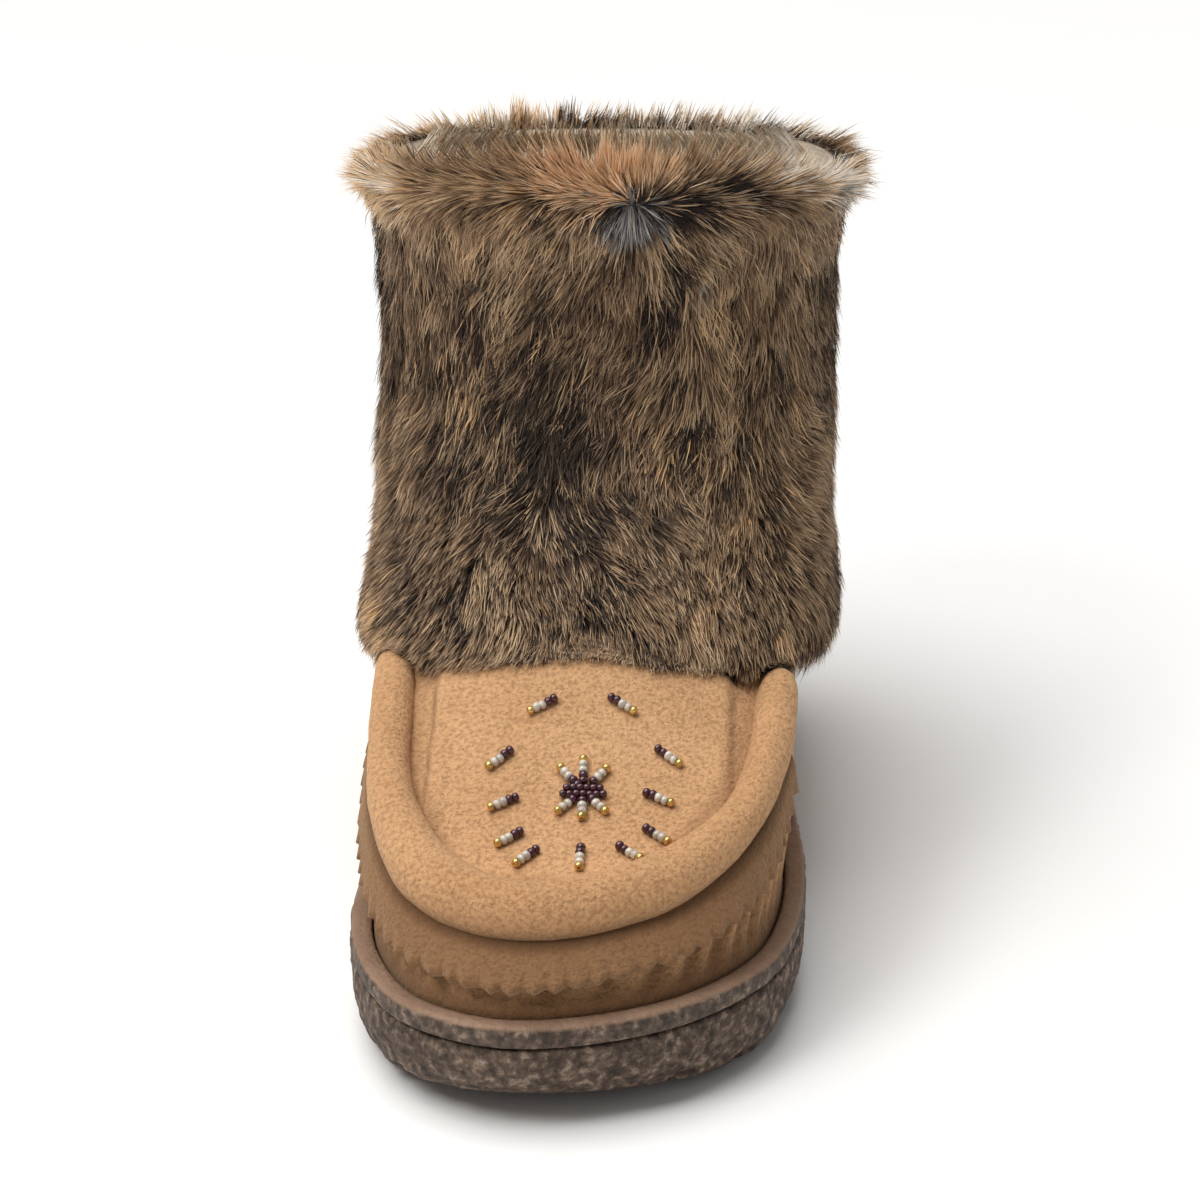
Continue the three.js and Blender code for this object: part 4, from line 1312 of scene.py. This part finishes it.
def clear_of_foot(path, heights):
    """Lifts the points of strands that would run into the plug or the roll."""
    index = np.floor(path[..., :2] - MAP_CORNER).astype(int)
    on_map = ((index >= 0) & (index < MAP_SIZE)).all(-1)
    index = np.clip(index, 0, MAP_SIZE - 1)
    floor = np.where(on_map, heights[index[..., 0], index[..., 1]], 0.0)
    rank = np.linspace(0, 1, path.shape[1])
    lifted = np.maximum(path[..., 2], floor + 0.3 + 0.9 * rank)
    path[..., 2] = np.where(path[..., 1] < HEM_BACK, lifted, path[..., 2])


MOST_TWIST = 0.6
COLUMN = 0.0012  # each strand's share of the palette map's width


def ribbons(strands, chosen, seed):
    """Points, triangles and map corners of strands, as ribbons that end in a point."""
    path = strands["path"][chosen]
    count = len(path)
    twist = np.random.default_rng(seed).uniform(-MOST_TWIST, MOST_TWIST, count)[:, None, None]
    along = unit(np.gradient(path, axis=1))
    side = unit(np.cross(along, strands["away"][chosen][:, None]))
    side = side * np.cos(twist) + unit(np.cross(side, along)) * np.sin(twist)
    reach = side[:, :-1] * (strands["wide"][chosen][:, None, None] / 2)
    pairs = np.stack([path[:, :-1] - reach, path[:, :-1] + reach], axis=2).reshape(count, -1, 3)
    points = np.concatenate([pairs, path[:, -1:]], axis=1)
    per = points.shape[1]
    pairs_from = range(0, per - 3, 2)
    faces = [(a, a + 1, a + 3) for a in pairs_from] + [(a, a + 3, a + 2) for a in pairs_from]
    faces = np.array([*faces, (per - 3, per - 2, per - 1)])
    faces = (faces + (np.arange(count) * per)[:, None, None]).reshape(-1, 3)
    side_of = np.append(np.tile([-0.5, 0.5], per // 2), 0.0)
    u = strands["u"][chosen][:, None] + side_of * COLUMN
    v = np.broadcast_to(np.repeat(strands["steps"], 2)[:per], u.shape)
    return points.reshape(-1, 3), faces, np.stack([u, v], axis=-1).reshape(-1, 2)[faces.ravel()]


FUR_SECTORS = 5


def make_fur(heights):
    """All the coats, cut into sectors round the shaft so that no piece has too many triangles."""
    rng = np.random.default_rng(5)
    coats = [grow(rng, *coat) for coat in COATS]
    for coat in coats:
        clear_of_foot(coat["path"], heights)
    for sector in range(FUR_SECTORS):
        points, faces, corners = [], [], []
        for k, coat in enumerate(coats):
            turn = np.mod(coat["angle"] / (2 * np.pi) + 0.5, 1.0)
            chosen = np.floor(turn * FUR_SECTORS).astype(int) == sector
            part = ribbons(coat, chosen, 100 + 10 * k + sector)
            faces.append(part[1] + sum(len(earlier) for earlier in points))
            points.append(part[0])
            corners.append(part[2])
        piece = new_mesh("fur_" + str(sector + 1), np.vstack(points), np.vstack(faces), corners=3)
        layer = piece.data.uv_layers.new(name="OFBake")
        layer.data.foreach_set("uv", np.vstack(corners).astype(np.float32).ravel())
        yield piece


# ---- assembly

# The third colour of each suede is its painted shade colour.
suede = suede_material("suede", (0.62, 0.355, 0.180), (0.55, 0.305, 0.150), (0.150, 0.074, 0.034))
suede_plug = suede_material("suede_plug", (0.68, 0.400, 0.210), (0.60, 0.342, 0.173), (0.24, 0.122, 0.058))
fleece = fleece_material()

finish_piece(make_outsole(), crepe_material(), "crepe", "outsole")
finish_piece(make_midsole(), band_material(), "sole_band", "midsole")
finish_piece(make_insole(), fleece, "fleece", "insole")
finish_piece(make_upper(suede, fleece), suede, "suede", "upper")
plug = finish_piece(make_plug(), suede_plug, "suede", "plug")
roll = finish_piece(make_roll(), suede, "suede", "roll")
finish_piece(make_trim(), suede, "suede", "pinked_trim")

BEAD_LOOKS = {  # colour, roughness, metallic
    "maroon": ((0.060, 0.010, 0.020), 0.2, 0.0),
    "pearl": ((0.62, 0.56, 0.48), 0.25, 0.0),
    "gold": ((0.72, 0.47, 0.14), 0.25, 0.75),
}
# The maroon beads are the ones that stand in for the CAD's bars and star.
stood_for = {"maroon": ["bead_star"] + ["bead_bar_" + str(i + 1) for i in range(len(BARS))]}
for colour, piece in make_beads().items():
    name = "bead_" + colour
    finish_piece(piece, bead_material(name, *BEAD_LOOKS[colour]), name, *stood_for.get(colour, []))

hide = hide_material()
finish_piece(make_hide(hide, fleece), hide, "hide", "shaft")
fur = fur_material()
for piece in make_fur(foot_map(plug, roll)):
    finish_piece(piece, fur, "fur")

# ---- floor, light and camera


FLOOR_REACH = 12.0
CAMERA_PLACE = (0.0375, (-699.4 + SHIFT_Y) * MM, 0.343)
CAMERA_DOWN = 21.34  # degrees below level
CAMERA_TURN = 3.01


def make_floor():
    n = Nodes("pale_floor")
    pale = n.ramp(n.noise(3, 2, 0.5), [(0.3, (0.955, 0.955, 0.955)), (0.7, (0.97, 0.97, 0.97))])
    n.shade(Base_Color=pale, Roughness=0.8)
    n.shader.inputs["Specular IOR Level"].default_value = 0.2
    mesh = bpy.data.meshes.new("floor")
    corners = [(x * FLOOR_REACH, y * FLOOR_REACH, 0) for x, y in ((-1, -1), (1, -1), (1, 1), (-1, 1))]
    mesh.from_pydata(corners, [], [(0, 1, 2, 3)])
    mesh.materials.append(n.material)
    floor = bpy.data.objects.new("floor", mesh)
    bpy.context.collection.objects.link(floor)
    floor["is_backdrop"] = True


def add_lamp(name, kind, colour, power, towards):
    """A lamp that shines along a direction."""
    light = bpy.data.lights.new(name, kind)
    light.energy = power
    light.color = colour
    lamp = bpy.data.objects.new(name, light)
    lamp.rotation_euler = Vector(towards).to_track_quat("-Z", "Y").to_euler()
    bpy.context.collection.objects.link(lamp)
    return lamp


make_floor()
world = bpy.data.worlds.new("studio")
bpy.context.scene.world = world
world.use_nodes = True
background = world.node_tree.nodes["Background"]
background.inputs["Color"].default_value = (1.0, 0.995, 0.985, 1.0)
background.inputs["Strength"].default_value = 0.26

# Even light from above, and a softer key from the front left.
top_light = add_lamp("top_light", "SUN", (1.0, 0.99, 0.97), 2.5, (0.25, -0.12, -1.0))
top_light.data.angle = math.radians(55)
key_place = Vector((-0.7, -0.55, 1.1))
key = add_lamp("key", "AREA", (1.0, 0.985, 0.96), 5, Vector((0, -0.02, 0.07)) - key_place)
key.location = key_place
key.data.shape = "DISK"
key.data.size = 0.5

camera_data = bpy.data.cameras.new("camera")
camera_data.sensor_width = 36.0
camera_data.lens = 90.4
camera_data.clip_start = 0.05
camera_data.clip_end = 20.0
camera = bpy.data.objects.new("camera", camera_data)
camera.location = CAMERA_PLACE
camera.rotation_euler = (math.radians(90 - CAMERA_DOWN), 0.0, math.radians(CAMERA_TURN))
bpy.context.collection.objects.link(camera)
bpy.context.scene.camera = camera
bpy.context.scene.view_settings.view_transform = "Standard"

boxes = {"cad": cad_box, "visual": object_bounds()}
{name: [[float(c) for c in corner] for corner in box] for name, box in boxes.items()}
